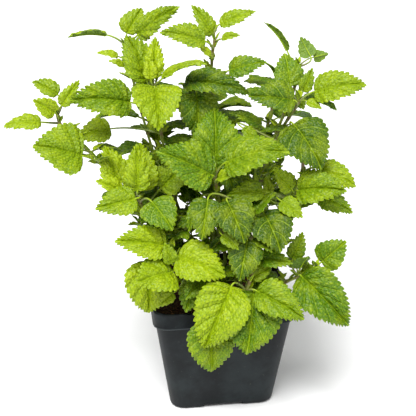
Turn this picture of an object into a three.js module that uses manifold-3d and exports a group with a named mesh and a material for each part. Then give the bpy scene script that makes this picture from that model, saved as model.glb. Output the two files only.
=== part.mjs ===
// A herb of the mint family, with opposite toothed leaves on square stems, growing in its square
// black nursery pot. Millimetres, +Z up, the front towards -Y. The origin is the middle of the pot's
// underside. The pot, its filling of soil and each leafy stem are separate solids. Every stem stands
// in a plain hole in the soil.

import * as THREE from 'three';
import { mergeVertices } from 'three/addons/utils/BufferGeometryUtils.js';
import Module from 'manifold-3d';

const wasm = await Module();
wasm.setup();

// Pot
const RIM_WIDTH = 105;
const RIM_CORNER = 11;
const BAND_WIDTH = 104;
const BAND_HEIGHT = 12;
const BAND_LIP = 1.2;
const WALL_TOP_WIDTH = 101;
const BASE_WIDTH = 79;
const BASE_CORNER = 11;
const BASE_EDGE = 2;
const POT_HEIGHT = 88;
const WALL = 1.5;
const FLOOR = 5.2;
const CHANNEL_DEPTH = 3.4;
const CHANNEL_WIDTH = 30;
const CENTRE_PAD = 11;
const DRAIN_RADIUS = 4;
const DRAIN_PLACE = 23;
const RIM_EDGE = 0.6;
const BAND_DRAFT = 0.7;
const CORNER_STEPS = 4;
const PAD_SIDES = 20;
const DRAIN_SIDES = 12;

// Soil
const SOIL_LEVEL = 81;
const SOIL_CRUMB = 1.3;
const SOIL_CROWN = 1.5;
const SOIL_RINGS = [1, 0.84, 0.62, 0.34];
const SEAT_GAP = 0.3;
const HOLE_DEPTH = 9;

// How the plant stands in the pot: turned about the pot's axis, in degrees, then moved.
const PLANT_TURN = 3;
const PLANT_SHIFT = [3, -4.3];

// Stems. A stem's nodes lie 2 + 5k + kk down from its tip and none is nearer the soil than the bare
// foot.
const STEM_FOOT = 1.7;
const STEM_TIP = 1.15;
const NODE_STEPS = [2, 5, 1];
const BARE_FOOT = 25;
const STEM_RISE = 3;

// Petioles
const PETIOLE_RADIUS = 0.8;
const PETIOLE_UNDER = 0.48;
const PETIOLE_LONG = 18;
const PETIOLE_DROP = 6;

// Blades, in degrees, and in lengths of the blade where they are under 1. A range is the least and the
// greatest of a draw.
const BLADE_THICKNESS = 0.7;
const TOOTH_DEPTH = 0.11;
const TOOTH_LEAN = 0.015;
const TIP_SWEEP = 0.1;
const BASE_SWEEP = 0.1;
const BASE_FULLNESS = 0.26;
const FOLD = [2, 20];
const DROOP = 40;
const DROOP_RANGE = [-10, 14];
const SMALL_DROOP = 0.4;
const GROWN_LENGTH = 36;
const WAVE = [0.01, 0.03];
const WAVE_TURN = 9;
// Blades longer than the first number have this many teeth a side and points inside the midrib.
const BLADE_DETAIL = [[45, 4, 2], [36, 3, 2], [28, 3, 1], [0, 2, 1]];

// Pairs of leaves down a stem: length, rise and width of a leaf at node k, the lean of its face
// outwards, and its petiole's length and rise over the blade's.
const PAIR_SWING = [-12, 12];
const PAIR_LENGTH = [12, 8];
const PAIR_SCALE = [0.85, 1.05];
const PAIR_RISE = [48, -14];
const OLD_PAIR = 4;
const OLD_PAIR_RISE = -8;
const PAIR_RISE_RANGE = [-8, 8];
const PAIR_WIDTH = [0.72, 0.88];
const PAIR_LEAN = 18;
const PAIR_PETIOLE = [3, 0.22];
const PAIR_PETIOLE_RISE = 25;

// Clearances between leaves and stems, and how far round a leaf they are looked for.
const BLADE_GAP = 1.4;
const STEM_GAP = 2.6;
const PETIOLE_GAP = 1.9;
const CROSS_GAP = 3.3;
const GAP_MARGIN = 0.7;
const STEM_SPACING = 4;
const STEM_REACH = 8;
const OWN_NODE = 4;
const LEAF_REACH = 0.62;
const LEAF_SPARE = 3;
const BLADE_CENTRE = 0.45;
const SAMPLE_ROWS = 8;
const SAMPLE_STRIPS = [-1, -0.5, 0, 0.5, 1];
const PETIOLE_POINTS = 6;
const SEED_STEP = 7919;

// Finishes
const POT_COLOUR = 0x33373a;
const POT_ROUGHNESS = 0.55;
const SOIL_COLOUR = 0x4a3427;
const SOIL_ROUGHNESS = 0.95;
const LEAF_ROUGHNESS = 0.6;

// Each shoot: where its foot stands in the soil, the points that its stem passes, its colour, and its
// leaves. A leaf is the x, y, z of its blade's base, the compass heading and the rise of its midrib,
// its length, how far its face leans to the front, and its width as a share of its length. "pairs" are
// the nodes, counted down from the tip, that carry two opposite leaves besides, each pair turned a
// quarter from the one before, with the first pair's heading and the greatest length.
const SHOOTS = {
  left_tall: {
    foot: [-12, 4], path: [[-35, 12, 162], [-42, 11, 202], [-47, 9, 238], [-48, 9, 244]],
    colour: 0x9cb33a, pairs: [[5, 7], 135, 32],
    leaves: [
      [-52, 12, 245, 124, 53, 37, 40, 0.78],
      [-48, 9, 248, 75, 62, 30, 47, 0.5],
      [-50, 6, 248, 100, 75, 15, 60, 0.7],
      [-42, 3, 249, -17, 19, 33, 5, 0.6],
      [-48, 1, 243, -93, -41, 36, 42, 1],
      [-65, 6, 232, -176, 5, 43, 52, 0.68],
      [-79, 18, 210, 179, -13, 25, 48, 0.8],
    ],
  },
  left_back: {
    foot: [-10, 16], path: [[-40, 34, 165], [-58, 42, 235], [-63, 43, 266]],
    colour: 0x8fae3c, pairs: [[4], 0, 30],
    leaves: [
      [-55, 40, 273, -19, 34, 38, 45, 0.5],
      [-62, 47, 273, 25, 46, 23, 40, 0.8],
      [-77, 45, 273, 177, -3, 28, -12, 0.65],
      [-71, 26, 261, -179, 11, 15, 30, 0.55],
      [-67, 19, 256, -174, 18, 12, 35, 0.6],
    ],
  },
  far_left: {
    foot: [-22, -4],
    path: [[-67, 7, 166], [-90, 6, 192], [-111, 8, 213], [-116, 10, 221], [-116, 11, 226]],
    colour: 0x93b53f, pairs: [[4], 10, 24],
    leaves: [
      [-115, 17, 237, 154, 23, 21, 40, 0.7],
      [-118, 6, 227, -169, 36, 18, 60, 0.8],
      [-113, 10, 231, 21, 48, 22, 62, 0.5],
      [-128, 9, 220, -179, -5, 26, 30, 0.6],
      [-101, -8, 199, -175, 16, 35, 45, 1.15],
    ],
  },
  left_low: {
    foot: [-20, -14], path: [[-56, -15, 146], [-63, -20, 168], [-65, -20, 174]],
    colour: 0x9bb83c, pairs: [[3, 5], 0, 28],
    leaves: [
      [-76, -6, 176, 136, 65, 29, 58, 0.75],
      [-65, -26, 177, 82, 80, 33, 65, 0.55],
      [-62, -8, 171, 72, 75, 34, 55, 0.8],
      [-76, -25, 177, -175, 28, 20, 40, 0.7],
      [-67, -33, 174, -170, -8, 29, 52, 0.75],
      [-56, -33, 171, -55, -37, 26, 50, 1],
      [-46, -7, 171, 0, 42, 27, 50, 0.9],
    ],
  },
  middle: {
    foot: [2, -8], path: [[-3, -18, 148], [-9, -26, 176], [-11, -28, 186]],
    colour: 0x88ad34, pairs: [[3, 4, 5], 30, 32],
    leaves: [
      [-9, -21, 188, 82, 62, 44, 55, 0.88],
      [-13, -31, 187, -178, 27, 44, 52, 0.76],
      [-3, -31, 196, -24, 13, 45, 35, 0.75],
      [-9, -33, 185, -33, 22, 17, 40, 0.6],
    ],
  },
  right_tall: {
    foot: [14, 10], path: [[36, 0, 190], [44, -3, 210], [52, -6, 225], [55, -8, 232]],
    colour: 0x84a836, pairs: [[5, 7], 120, 32],
    leaves: [
      [49, -13, 233, -177, 8, 34, 50, 0.72],
      [65, -10, 238, -20, 9, 37, 45, 0.7],
      [50, 0, 240, 99, 60, 25, 55, 0.9],
      [58, -5, 237, 10, 60, 18, 50, 0.6],
      [59, -13, 232, -39, -22, 12, 45, 0.7],
    ],
  },
  right_back: {
    foot: [18, 20], path: [[40, 14, 190], [55, 8, 236], [58, 9, 254]],
    colour: 0xa2b44a, pairs: [[3, 6], 60, 30],
    leaves: [
      [67, 10, 259, 130, 55, 16, -95, 0.8],
      [53, 23, 261, 154, 48, 27, -20, 0.45],
      [70, 12, 258, 9, 8, 12, -105, 0.8],
    ],
  },
  top: {
    foot: [0, 12], path: [[-2, 11, 200], [-4, 19, 250], [-3, 21, 263], [-1, 22, 272]],
    colour: 0x86aa40, pairs: [[5, 7], 0, 34],
    leaves: [
      [-2, 27, 274, 157, 52, 26, 45, 0.55],
      [3, 24, 282, -13, 19, 27, 40, 0.52],
      [3, 16, 273, -29, 12, 14, 45, 0.55],
      [-10, 14, 272, -180, 12, 33, 48, 0.6],
      [-6, 14, 262, -170, 35, 12, 45, 0.6],
      [8, 15, 250, -21, 14, 28, 48, 0.62],
    ],
  },
  inner: {
    foot: [-3, 4], path: [[-10, 9, 190], [-15, 15, 230], [-17, 17, 240]],
    colour: 0x6f9636, pairs: [[3, 4, 5, 6], 30, 34],
    leaves: [
      [-25, 10, 243, -22, -8, 48, 40, 0.5],
      [-17, 10, 236, -92, -64, 33, 50, 0.9],
      [29, -1, 212, -177, 24, 27, 30, 0.5],
    ],
  },
  right_mid: {
    foot: [20, -2], path: [[45, -20, 150], [52, -27, 178], [54, -27, 198]],
    colour: 0x8bb038, pairs: [[5], 135, 30],
    leaves: [
      [47, -21, 218, -50, -49, 38, 45, 1],
      [46, -14, 211, 178, 0, 21, 10, 0.45],
      [13, -12, 214, -18, -45, 17, 45, 0.6],
      [68, -22, 184, -23, -25, 29, 42, 0.75],
      [49, -32, 172, -28, 5, 35, 50, 0.8],
      [67, -22, 162, -23, -22, 28, 45, 0.7],
      [34, -43, 169, -33, -33, 19, 50, 0.8],
      [46, -27, 171, 170, 48, 21, 55, 0.75],
      [29, -26, 168, 118, 76, 13, 60, 0.7],
      [23, -33, 173, -179, -3, 26, 45, 0.65],
    ],
  },
  front_mid: {
    foot: [8, -18], path: [[14, -38, 135], [10, -42, 157], [7, -42, 168]],
    colour: 0x8db138, pairs: [[2, 3, 4], 20, 26],
    leaves: [
      [-5, -44, 172, -66, -50, 32, 45, 0.9],
      [-18, -41, 173, -115, -54, 29, 42, 0.8],
      [-10, -54, 151, -36, -36, 15, 50, 0.75],
      [-25, -36, 168, -132, -58, 20, 40, 0.5],
      [22, -41, 160, -74, -40, 32, 45, 1.05],
      [8, -52, 145, -124, -61, 29, 45, 0.85],
      [19, -46, 127, -31, 0, 24, 45, 0.65],
    ],
  },
  front_left: {
    foot: [-16, -22], path: [[-34, -38, 116], [-42, -42, 133], [-45, -42, 138]],
    colour: 0xa3bf44, pairs: [[2, 3], 90, 24],
    leaves: [
      [-48, -41, 141, -177, 10, 36, 50, 0.72],
      [-40, -46, 134, -23, -20, 36, 48, 0.85],
      [-45, -49, 124, -148, 2, 32, 42, 0.95],
      [-45, -50, 131, 162, 73, 16, 55, 0.7],
      [-44, -50, 108, -178, -40, 15, 40, 0.7],
      [-28, -42, 112, -129, -58, 23, 35, 0.8],
      [-59, -34, 127, -112, -57, 39, 42, 0.95],
    ],
  },
  front_low: {
    foot: [2, -28], path: [[5, -54, 103], [8, -59, 115], [10, -60, 124]],
    colour: 0xa0bd3e, pairs: [[], 0, 20],
    leaves: [
      [-5, -61, 115, -160, -62, 48, 50, 0.82],
      [-20, -55, 85, -83, -79, 37, 50, 0.95],
      [12, -57, 108, -116, -65, 45, 50, 1],
      [13, -61, 110, -25, -28, 39, 48, 0.72],
      [11, -53, 116, 15, 28, 18, 50, 0.65],
    ],
  },
  right_low: {
    foot: [24, -18], path: [[34, -38, 101], [46, -47, 111], [57, -49, 116], [61, -50, 119]],
    colour: 0x7fa238, pairs: [[2, 3], 90, 20],
    leaves: [
      [65, -44, 120, -10, 44, 24, 52, 0.95],
      [64, -53, 113, -34, 0, 9, 45, 0.7],
      [48, -51, 114, -30, -43, 50, 68, 0.7],
      [58, -47, 114, 160, 42, 17, 50, 0.45],
      [45, -39, 122, 25, 66, 21, 55, 0.65],
    ],
  },
  low_inner: {
    foot: [-6, -14], path: [[-14, -26, 105], [-18, -34, 122], [-19, -36, 130]],
    colour: 0x6b8f32, pairs: [[1, 3], 50, 30],
    leaves: [
      [-12, -40, 106, -60, -38, 27, 48, 0.8],
      [-22, -44, 116, -140, -30, 22, 45, 0.75],
      [14, -36, 104, -30, -20, 27, 45, 0.8],
    ],
  },
  back_left: {
    foot: [-12, 26], path: [[-35, 57, 166], [-46, 72, 207], [-44, 78, 224]],
    colour: 0x86ab3a, pairs: [[0, 2, 3, 4, 5, 6], 100, 38], leaves: [],
  },
  back_middle: {
    foot: [2, 28], path: [[1, 63, 172], [0, 77, 209], [4, 82, 222]],
    colour: 0x8fb23c, pairs: [[0, 2, 3, 4, 5, 7], 45, 38], leaves: [],
  },
  back_right: {
    foot: [16, 30], path: [[42, 58, 170], [55, 66, 212], [58, 70, 232]],
    colour: 0x88ab38, pairs: [[0, 2, 3, 4, 5, 6], 20, 38], leaves: [],
  },
  low_left: {
    foot: [-26, 8], path: [[-44, 18, 125], [-55, 24, 150], [-58, 26, 163]],
    colour: 0x7ea038, pairs: [[0, 2, 3], 30, 32], leaves: [],
  },
  low_back_left: {
    foot: [-24, 24], path: [[-40, 62, 120], [-50, 78, 140], [-53, 84, 152]],
    colour: 0x82a43a, pairs: [[0, 2, 3, 4], 100, 34], leaves: [],
  },
  low_back_right: {
    foot: [26, 22], path: [[42, 56, 118], [52, 74, 138], [55, 80, 150]],
    colour: 0x7fa23a, pairs: [[0, 2, 3, 4], 60, 34], leaves: [],
  },
};

const vec = (x, y, z) => new THREE.Vector3(x, y, z);
const rad = THREE.MathUtils.degToRad;

// Small repeatable draws, so that no two leaves are alike.
function draws(seed) {
  let state = seed;
  return ([low, high]) => {
    state = (state * 9301 + 49297) % 233280;
    return low + (high - low) * state / 233280;
  };
}

// Unit vector of a compass heading and a rise, both in degrees.
function direction(heading, rise) {
  const flat = Math.cos(rad(rise));
  return vec(Math.cos(rad(heading)) * flat, Math.sin(rad(heading)) * flat, Math.sin(rad(rise)));
}

// Half outline of a blade one long: theta runs from 0 at the petiole to pi at the tip.
function outline(theta, halfWidth) {
  const c = Math.cos(theta);
  const s = Math.sin(theta);
  const sweep = TIP_SWEEP * (1 - c) / 2 + BASE_SWEEP * (1 + c) / 2;
  return [(1 - c) / 2 - s * sweep, halfWidth * s * (1 + BASE_FULLNESS * c)];
}

// Half width of the outline at x, between points of the outline.
const OUTLINE_STEPS = 24;
const OUTLINE = Array.from({ length: OUTLINE_STEPS + 1 }, (_, i) => outline(Math.PI * i / OUTLINE_STEPS, 1));
function halfWidthAt(x) {
  if (x <= OUTLINE[0][0]) return 0;
  for (let i = 1; i <= OUTLINE_STEPS; i++) {
    const [x0, y0] = OUTLINE[i - 1];
    const [x1, y1] = OUTLINE[i];
    if (x <= x1 && x1 > x0) return y0 + (y1 - y0) * (x - x0) / (x1 - x0);
  }
  return 0;
}

// A point of the blade, t along the midrib and q from the midrib, 0, to the margin, 1 or -1. Lines of
// one t are the side veins, which run forward from the midrib and bend forward again to the margin.
const MARGIN_POWER = 0.72;
const MIDRIB_POWER = 1.5;
const VEIN_POWER = 1.3;
function bladePoint(t, q, halfWidth) {
  const [marginX, marginY] = outline(Math.PI * t ** MARGIN_POWER, halfWidth);
  const midribX = t ** MIDRIB_POWER;
  return [midribX + (marginX - midribX) * Math.abs(q) ** VEIN_POWER, marginY * q];
}

// A leaf: its blade arches along the midrib, folds up from it and waves at the margin.
class Leaf {
  constructor(base, heading, rise, length, width, hint, seed) {
    const draw = draws(seed);
    this.base = base;
    this.length = length;
    this.halfWidth = width / 2;
    const grown = Math.min(1, length / GROWN_LENGTH);
    this.fold = rad(draw(FOLD));
    this.droop = rad(DROOP * (SMALL_DROOP + (1 - SMALL_DROOP) * grown) + draw(DROOP_RANGE));
    this.wave = draw(WAVE);
    this.phase = draw([0, 2 * Math.PI]);
    this.along = direction(heading, rise);
    this.face = hint.clone().addScaledVector(this.along, -hint.dot(this.along)).normalize();
    this.across = this.face.clone().cross(this.along);
  }

  // Millimetres along, across and above the chord, for x and y in lengths of the blade.
  local(x, y, q) {
    const half = this.droop / 2;
    const turn = this.droop * (x - 0.5);
    const radius = this.length / (2 * Math.sin(half));
    const side = y > 0 ? 0 : 2;
    const wave = this.wave * this.length * q * Math.sin(WAVE_TURN * x + this.phase + side);
    return [
      radius * (Math.sin(turn) + Math.sin(half)),
      this.length * y * Math.cos(this.fold),
      radius * (Math.cos(turn) - Math.cos(half)) + this.length * Math.abs(y) * Math.sin(this.fold) + wave,
    ];
  }

  point(x, y, q, lift = 0) {
    const [along, across, up] = this.local(x, y, q);
    const turn = this.droop * (x - 0.5);
    const tilt = q > 0 ? this.fold * -Math.sign(y) : 0;
    const place = this.base.clone();
    place.addScaledVector(this.along, along + lift * Math.sin(turn) * Math.cos(tilt));
    place.addScaledVector(this.across, across + lift * Math.sin(tilt));
    return place.addScaledVector(this.face, up + lift * Math.cos(turn) * Math.cos(tilt));
  }

  // Points all over the blade, for judging its clearance.
  samples() {
    const points = [];
    for (let i = 0; i < SAMPLE_ROWS; i++) {
      for (const q of SAMPLE_STRIPS) {
        const [x, y] = bladePoint(i / (SAMPLE_ROWS - 1), q, this.halfWidth);
        points.push(this.point(x, y, Math.abs(q)));
      }
    }
    return points;
  }

  // Whether some of these points lie within a gap of the blade, or on both of its sides.
  meets(points, gap) {
    const half = this.droop / 2;
    const margin = GAP_MARGIN * gap / this.length;
    let lowest = Infinity;
    let highest = -Infinity;
    for (const point of points) {
      const offset = point.clone().sub(this.base);
      const chord = 2 * offset.dot(this.along) / this.length;
      const bend = THREE.MathUtils.clamp((chord - 1) * Math.sin(half), -0.99, 0.99);
      const x = Math.asin(bend) / this.droop + 0.5;
      const y = offset.dot(this.across) / this.length / Math.cos(this.fold);
      const reach = halfWidthAt(x) * this.halfWidth + margin;
      if (x < -0.05 - margin || x > 1 + margin || Math.abs(y) > reach) continue;
      const height = offset.dot(this.face) - this.local(x, y, Math.min(1, Math.abs(y) / reach))[2];
      lowest = Math.min(lowest, height);
      highest = Math.max(highest, height);
    }
    return lowest < gap && highest > -gap;
  }
}

// The petiole's curve leaves the stem at its node and arrives along the midrib. It bends half way.
function petiolePath(leaf, node, count) {
  const arrival = leaf.along.clone().multiplyScalar(Math.cos(leaf.droop / 2));
  arrival.addScaledVector(leaf.face, Math.sin(leaf.droop / 2));
  const bend = leaf.base.clone().addScaledVector(arrival, -leaf.base.distanceTo(node) / 2);
  return new THREE.QuadraticBezierCurve3(node, bend, leaf.base).getPoints(count);
}

// Distance from the tip of a stem to its node k, growing from node to node.
const nodeDistance = (k) => NODE_STEPS[0] + NODE_STEPS[1] * k + NODE_STEPS[2] * k * k;

// Points down a stem at its nodes, or as far between them as the shift says.
function stemNodes(curve, shift = 0) {
  const total = curve.getLength();
  const nodes = [];
  for (let k = shift; total - nodeDistance(k) > BARE_FOOT; k++) {
    nodes.push(curve.getPointAt(1 - nodeDistance(k) / total));
  }
  return nodes;
}

// A stem's curve starts upright in its hole in the soil.
function stemCurve(shoot) {
  const [x, y] = shoot.foot;
  const foot = [vec(x, y, SOIL_LEVEL - HOLE_DEPTH), vec(x, y, SOIL_LEVEL + STEM_RISE)];
  return new THREE.CatmullRomCurve3([...foot, ...shoot.path.map((p) => vec(...p))], false, 'centripetal');
}

// Attitudes that a leaf tries in turn where its own would meet another piece.
const ATTITUDES = [];
for (const scale of [1, 0.85, 0.7]) {
  for (const swing of [0, 12, -12, 24, -24]) {
    for (const lift of [0, 8, -8, 16, -16, 24, -24]) {
      ATTITUDES.push({ scale, swing, lift });
    }
  }
}

// The least distance between two rows of points.
const near = (row, other) => Math.min(...row.flatMap((p) => other.map((o) => o.distanceTo(p))));

// Whether a leaf with its petiole is clear of all stems and of the leaves already placed.
function isClear(leaf, petiole, shoot, stems, placed) {
  const own = leaf.samples();
  const centre = leaf.point(BLADE_CENTRE, 0, 0);
  for (const [name, stem] of Object.entries(stems)) {
    const close = stem.points.filter((p) => p.distanceTo(centre) < leaf.length + STEM_REACH
      && (name !== shoot || p.distanceTo(petiole[0]) > OWN_NODE));
    if (close.length === 0) continue;
    if (leaf.meets(close, STEM_GAP)) return false;
    if (name !== shoot && near(petiole, close) < CROSS_GAP) return false;
  }
  for (const other of placed) {
    const reach = (other.leaf.length + leaf.length) * LEAF_REACH + LEAF_SPARE;
    if (other.centre.distanceTo(centre) > reach) continue;
    if (leaf.meets(other.samples, BLADE_GAP) || other.leaf.meets(own, BLADE_GAP)) return false;
    if (leaf.meets(other.petiole.slice(1), PETIOLE_GAP)) return false;
    if (other.leaf.meets(petiole.slice(1), PETIOLE_GAP)) return false;
    if (other.shoot !== shoot && near(petiole, other.petiole) < PETIOLE_GAP) return false;
  }
  return true;
}

// Places a leaf in the first of the attitudes that is clear. With none, it is left out.
function settle(make, shoot, stems, placed) {
  for (const attitude of ATTITUDES) {
    const { leaf, node } = make(attitude);
    const petiole = petiolePath(leaf, node, PETIOLE_POINTS);
    if (!isClear(leaf, petiole, shoot, stems, placed)) continue;
    const centre = leaf.point(BLADE_CENTRE, 0, 0);
    placed.push({ leaf, node, petiole, shoot, centre, samples: leaf.samples() });
    return;
  }
}

// All leaves of the plant: first those listed for each shoot, then the pairs that fill it.
function growLeaves(stems) {
  const placed = [];
  let seed = 1;
  for (const [name, shoot] of Object.entries(SHOOTS)) {
    for (const [x, y, z, heading, rise, length, lean, width] of shoot.leaves) {
      seed += SEED_STEP;
      const leafSeed = seed;
      const hint = vec(0, -Math.sin(rad(lean)), Math.cos(rad(lean)));
      const below = vec(x, y, z - PETIOLE_DROP);
      const gaps = stems[name].nodes.map((n) => n.distanceTo(below));
      const node = stems[name].nodes[gaps.indexOf(Math.min(...gaps))];
      settle(({ scale, swing, lift }) => ({
        leaf: new Leaf(vec(x, y, z), heading + swing, rise + lift, length * scale, width, hint, leafSeed),
        node,
      }), name, stems, placed);
    }
  }
  for (const [name, shoot] of Object.entries(SHOOTS)) {
    const [places, firstHeading, greatest] = shoot.pairs;
    for (const k of places.filter((place) => place < stems[name].nodes.length)) {
      const node = stems[name].nodes[k];
      for (const side of [0, 1]) {
        seed += SEED_STEP;
        const leafSeed = seed;
        const draw = draws(leafSeed);
        const heading = firstHeading + 90 * k + 180 * side + draw(PAIR_SWING);
        const length = Math.min(greatest, PAIR_LENGTH[0] + PAIR_LENGTH[1] * k) * draw(PAIR_SCALE);
        const young = PAIR_RISE[0] + PAIR_RISE[1] * k;
        const rise = (k < OLD_PAIR ? young : OLD_PAIR_RISE) + draw(PAIR_RISE_RANGE);
        const width = draw(PAIR_WIDTH);
        settle(({ scale, swing, lift }) => {
          const outward = direction(heading + swing, 0);
          const hint = vec(0, 0, Math.cos(rad(PAIR_LEAN))).addScaledVector(outward, Math.sin(rad(PAIR_LEAN)));
          const arm = direction(heading + swing, rise + lift + PAIR_PETIOLE_RISE);
          const base = node.clone().addScaledVector(arm, PAIR_PETIOLE[0] + PAIR_PETIOLE[1] * length);
          const leafLength = length * scale;
          return {
            leaf: new Leaf(base, heading + swing, rise + lift, leafLength, width, hint, leafSeed),
            node,
          };
        }, name, stems, placed);
      }
    }
  }
  return placed;
}

// Closed geometry as a solid that can be joined and cut.
function solid(geometry) {
  const bare = geometry.clone();
  bare.deleteAttribute('normal');
  bare.deleteAttribute('uv');
  const merged = mergeVertices(bare, 1e-4);
  return new wasm.Manifold(new wasm.Mesh({
    numProp: 3,
    vertProperties: new Float32Array(merged.attributes.position.array),
    triVerts: new Uint32Array(merged.index.array),
  }));
}

function geometryOf(manifold) {
  const mesh = manifold.getMesh();
  const geometry = new THREE.BufferGeometry();
  geometry.setAttribute('position', new THREE.BufferAttribute(new Float32Array(mesh.vertProperties), 3));
  geometry.setIndex(new THREE.BufferAttribute(new Uint32Array(mesh.triVerts), 1));
  geometry.computeVertexNormals();
  return geometry;
}

function geometryFrom(points, triangles) {
  const geometry = new THREE.BufferGeometry();
  const places = points.flatMap((p) => [p.x, p.y, p.z]);
  geometry.setAttribute('position', new THREE.Float32BufferAttribute(places, 3));
  geometry.setIndex(triangles.flat());
  return geometry;
}

// Closed skin through rings of points that turn anticlockwise as seen from ahead, with a fan of
// triangles over the first and the last.
function loft(rings) {
  const count = rings[0].length;
  const points = rings.flat();
  const triangles = [];
  for (let r = 0; r + 1 < rings.length; r++) {
    for (let i = 0; i < count; i++) {
      const a = r * count + i;
      const b = r * count + (i + 1) % count;
      triangles.push([a, b, b + count], [a, b + count, a + count]);
    }
  }
  const last = (rings.length - 1) * count;
  const middle = (ring) => ring.reduce((sum, p) => sum.add(p), vec(0, 0, 0)).divideScalar(count);
  points.push(middle(rings[0]), middle(rings[rings.length - 1]));
  for (let i = 0; i < count; i++) {
    const next = (i + 1) % count;
    triangles.push([next, i, points.length - 2], [last + i, last + next, points.length - 1]);
  }
  return geometryFrom(points, triangles);
}

// The square stem along a row of points, its half width running evenly from foot to tip.
function stemSolid(points) {
  const corner = vec(1, 0, 0);
  return solid(loft(points.map((point, i) => {
    const ahead = points[Math.min(i + 1, points.length - 1)].clone();
    ahead.sub(points[Math.max(i - 1, 0)]).normalize();
    const right = corner.clone().addScaledVector(ahead, -corner.dot(ahead)).normalize();
    const up = ahead.clone().cross(right);
    const radius = STEM_FOOT + (STEM_TIP - STEM_FOOT) * i / (points.length - 1);
    return [0, 1, 2, 3].map((quarter) => {
      const angle = (quarter + 0.5) * Math.PI / 2;
      const place = point.clone().addScaledVector(right, radius * Math.cos(angle));
      return place.addScaledVector(up, radius * Math.sin(angle));
    });
  })));
}

// The three corners of a petiole round a point: above it, then below it to the right and the left,
// anticlockwise as seen from ahead, where left is the way across.
function crossSection(point, across, up) {
  return [90, 210, 330].map((angle) => {
    const place = point.clone().addScaledVector(across, PETIOLE_RADIUS * Math.cos(rad(angle)));
    return place.addScaledVector(up, PETIOLE_RADIUS * Math.sin(rad(angle)));
  });
}

// The blade's points, each with its place across, and the triangles of its upper face: points down
// the midrib and a toothed margin on each side, joined along the side veins.
function bladeNet(leaf) {
  const [teeth, ribs] = BLADE_DETAIL.find(([least]) => leaf.length > least).slice(1);
  const flat = [[0, 0, 0]];
  const midrib = [0];
  for (let i = 1; i <= ribs; i++) {
    midrib.push(flat.length);
    flat.push([i / (ribs + 1), 0, 0]);
  }
  const tip = flat.length;
  flat.push([1, 0, 0]);
  midrib.push(tip);
  const margins = [1, -1].map((side) => {
    const margin = [0];
    for (let k = 1; k < 2 * teeth; k++) {
      const notch = k % 2 === 0;
      const t = k / (2 * teeth) + (notch ? TOOTH_LEAN : -TOOTH_LEAN);
      const [x, y] = bladePoint(t, side, leaf.halfWidth);
      const pull = notch ? 1 - TOOTH_DEPTH : 1;
      margin.push(flat.length);
      flat.push([x, y * pull, pull]);
    }
    margin.push(tip);
    return margin;
  });
  const upper = [];
  margins.forEach((margin, side) => {
    let a = 0;
    let b = 0;
    while (a < margin.length - 1 || b < midrib.length - 1) {
      const marginNext = (a + 1) / (margin.length - 1);
      const midribNext = (b + 1) / (midrib.length - 1);
      const onMargin = a < margin.length - 1 && marginNext <= midribNext + 1e-9;
      const corners = [margin[a], onMargin ? margin[a + 1] : midrib[b + 1], midrib[b]];
      if (new Set(corners).size === 3) upper.push(side === 0 ? corners.reverse() : corners);
      if (onMargin) a += 1;
      else b += 1;
    }
  });
  return { flat, margins, upper };
}

// A leaf as one thin solid, split alike on both faces, with its petiole running out of its base.
function leafSolid(leaf, node) {
  const { flat, margins, upper } = bladeNet(leaf);
  const count = flat.length;
  const baseLift = [PETIOLE_RADIUS, -PETIOLE_UNDER];
  const points = [1, -1].flatMap((sign, side) => flat.map(([x, y, q], i) => (
    leaf.point(x, y, q, i > 0 ? sign * BLADE_THICKNESS / 2 : baseLift[side]))));
  const triangles = upper.flatMap(([a, b, c]) => [[a, b, c], [c + count, b + count, a + count]]);
  const right = points.length;
  const left = right + 1;
  points.push(...crossSection(leaf.base, leaf.across, leaf.face).slice(1));
  margins.forEach((margin, side) => {
    for (let i = 1; i + 1 < margin.length; i++) {
      const [a, b] = side === 0 ? [margin[i + 1], margin[i]] : [margin[i], margin[i + 1]];
      triangles.push([b, a, a + count], [b, a + count, b + count]);
    }
  });
  const [nearLeft, nearRight] = margins.map((margin) => margin[1]);
  triangles.push([0, nearLeft, left], [nearLeft, nearLeft + count, left], [nearLeft + count, count, left]);
  triangles.push([nearRight, 0, right], [nearRight, right, nearRight + count]);
  triangles.push([nearRight + count, right, count]);
  const steps = leaf.base.distanceTo(node) > PETIOLE_LONG ? 3 : 2;
  const run = petiolePath(leaf, node, steps);
  const rings = run.slice(0, -1).map((point, i) => {
    const ahead = run[i + 1].clone().sub(point).normalize();
    const up = ahead.clone().cross(leaf.across).normalize();
    const first = points.length;
    points.push(...crossSection(point, leaf.across, up));
    return [first, first + 1, first + 2];
  });
  rings.push([0, right, left]);
  for (let r = 0; r < steps; r++) {
    for (let i = 0; i < 3; i++) {
      const [a, b, c, d] = [rings[r][i], rings[r][(i + 1) % 3], rings[r + 1][(i + 1) % 3], rings[r + 1][i]];
      triangles.push([a, b, c], [a, c, d]);
    }
  }
  const [first] = rings;
  triangles.push([first[0], first[2], first[1]], [right, left, count]);
  return solid(geometryFrom(points, triangles));
}

// Turns and moves a solid of the plant to its place in the pot.
const planted = (part) => part.rotate([0, 0, PLANT_TURN]).translate([...PLANT_SHIFT, 0]);

// One leafy stem: the square stem, bending between its nodes, with its leaves fused to it.
function shootSolid(curve, leaves) {
  const bends = stemNodes(curve, 0.5).toReversed();
  const stem = stemSolid([curve.points[0], curve.points[1], ...bends, curve.getPoint(1)]);
  const whole = wasm.Manifold.union([stem, ...leaves.map(({ leaf, node }) => leafSolid(leaf, node))]);
  return planted(whole);
}

// A rounded square of points, anticlockwise from above.
function roundedSquare(width, corner, z) {
  const inset = width / 2 - corner;
  const points = [];
  for (let quarter = 0; quarter < 4; quarter++) {
    const centreX = quarter === 0 || quarter === 3 ? inset : -inset;
    const centreY = quarter < 2 ? inset : -inset;
    for (let step = 0; step <= CORNER_STEPS; step++) {
      const angle = (quarter + step / CORNER_STEPS) * Math.PI / 2;
      points.push(vec(centreX + corner * Math.cos(angle), centreY + corner * Math.sin(angle), z));
    }
  }
  return points;
}

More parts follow.
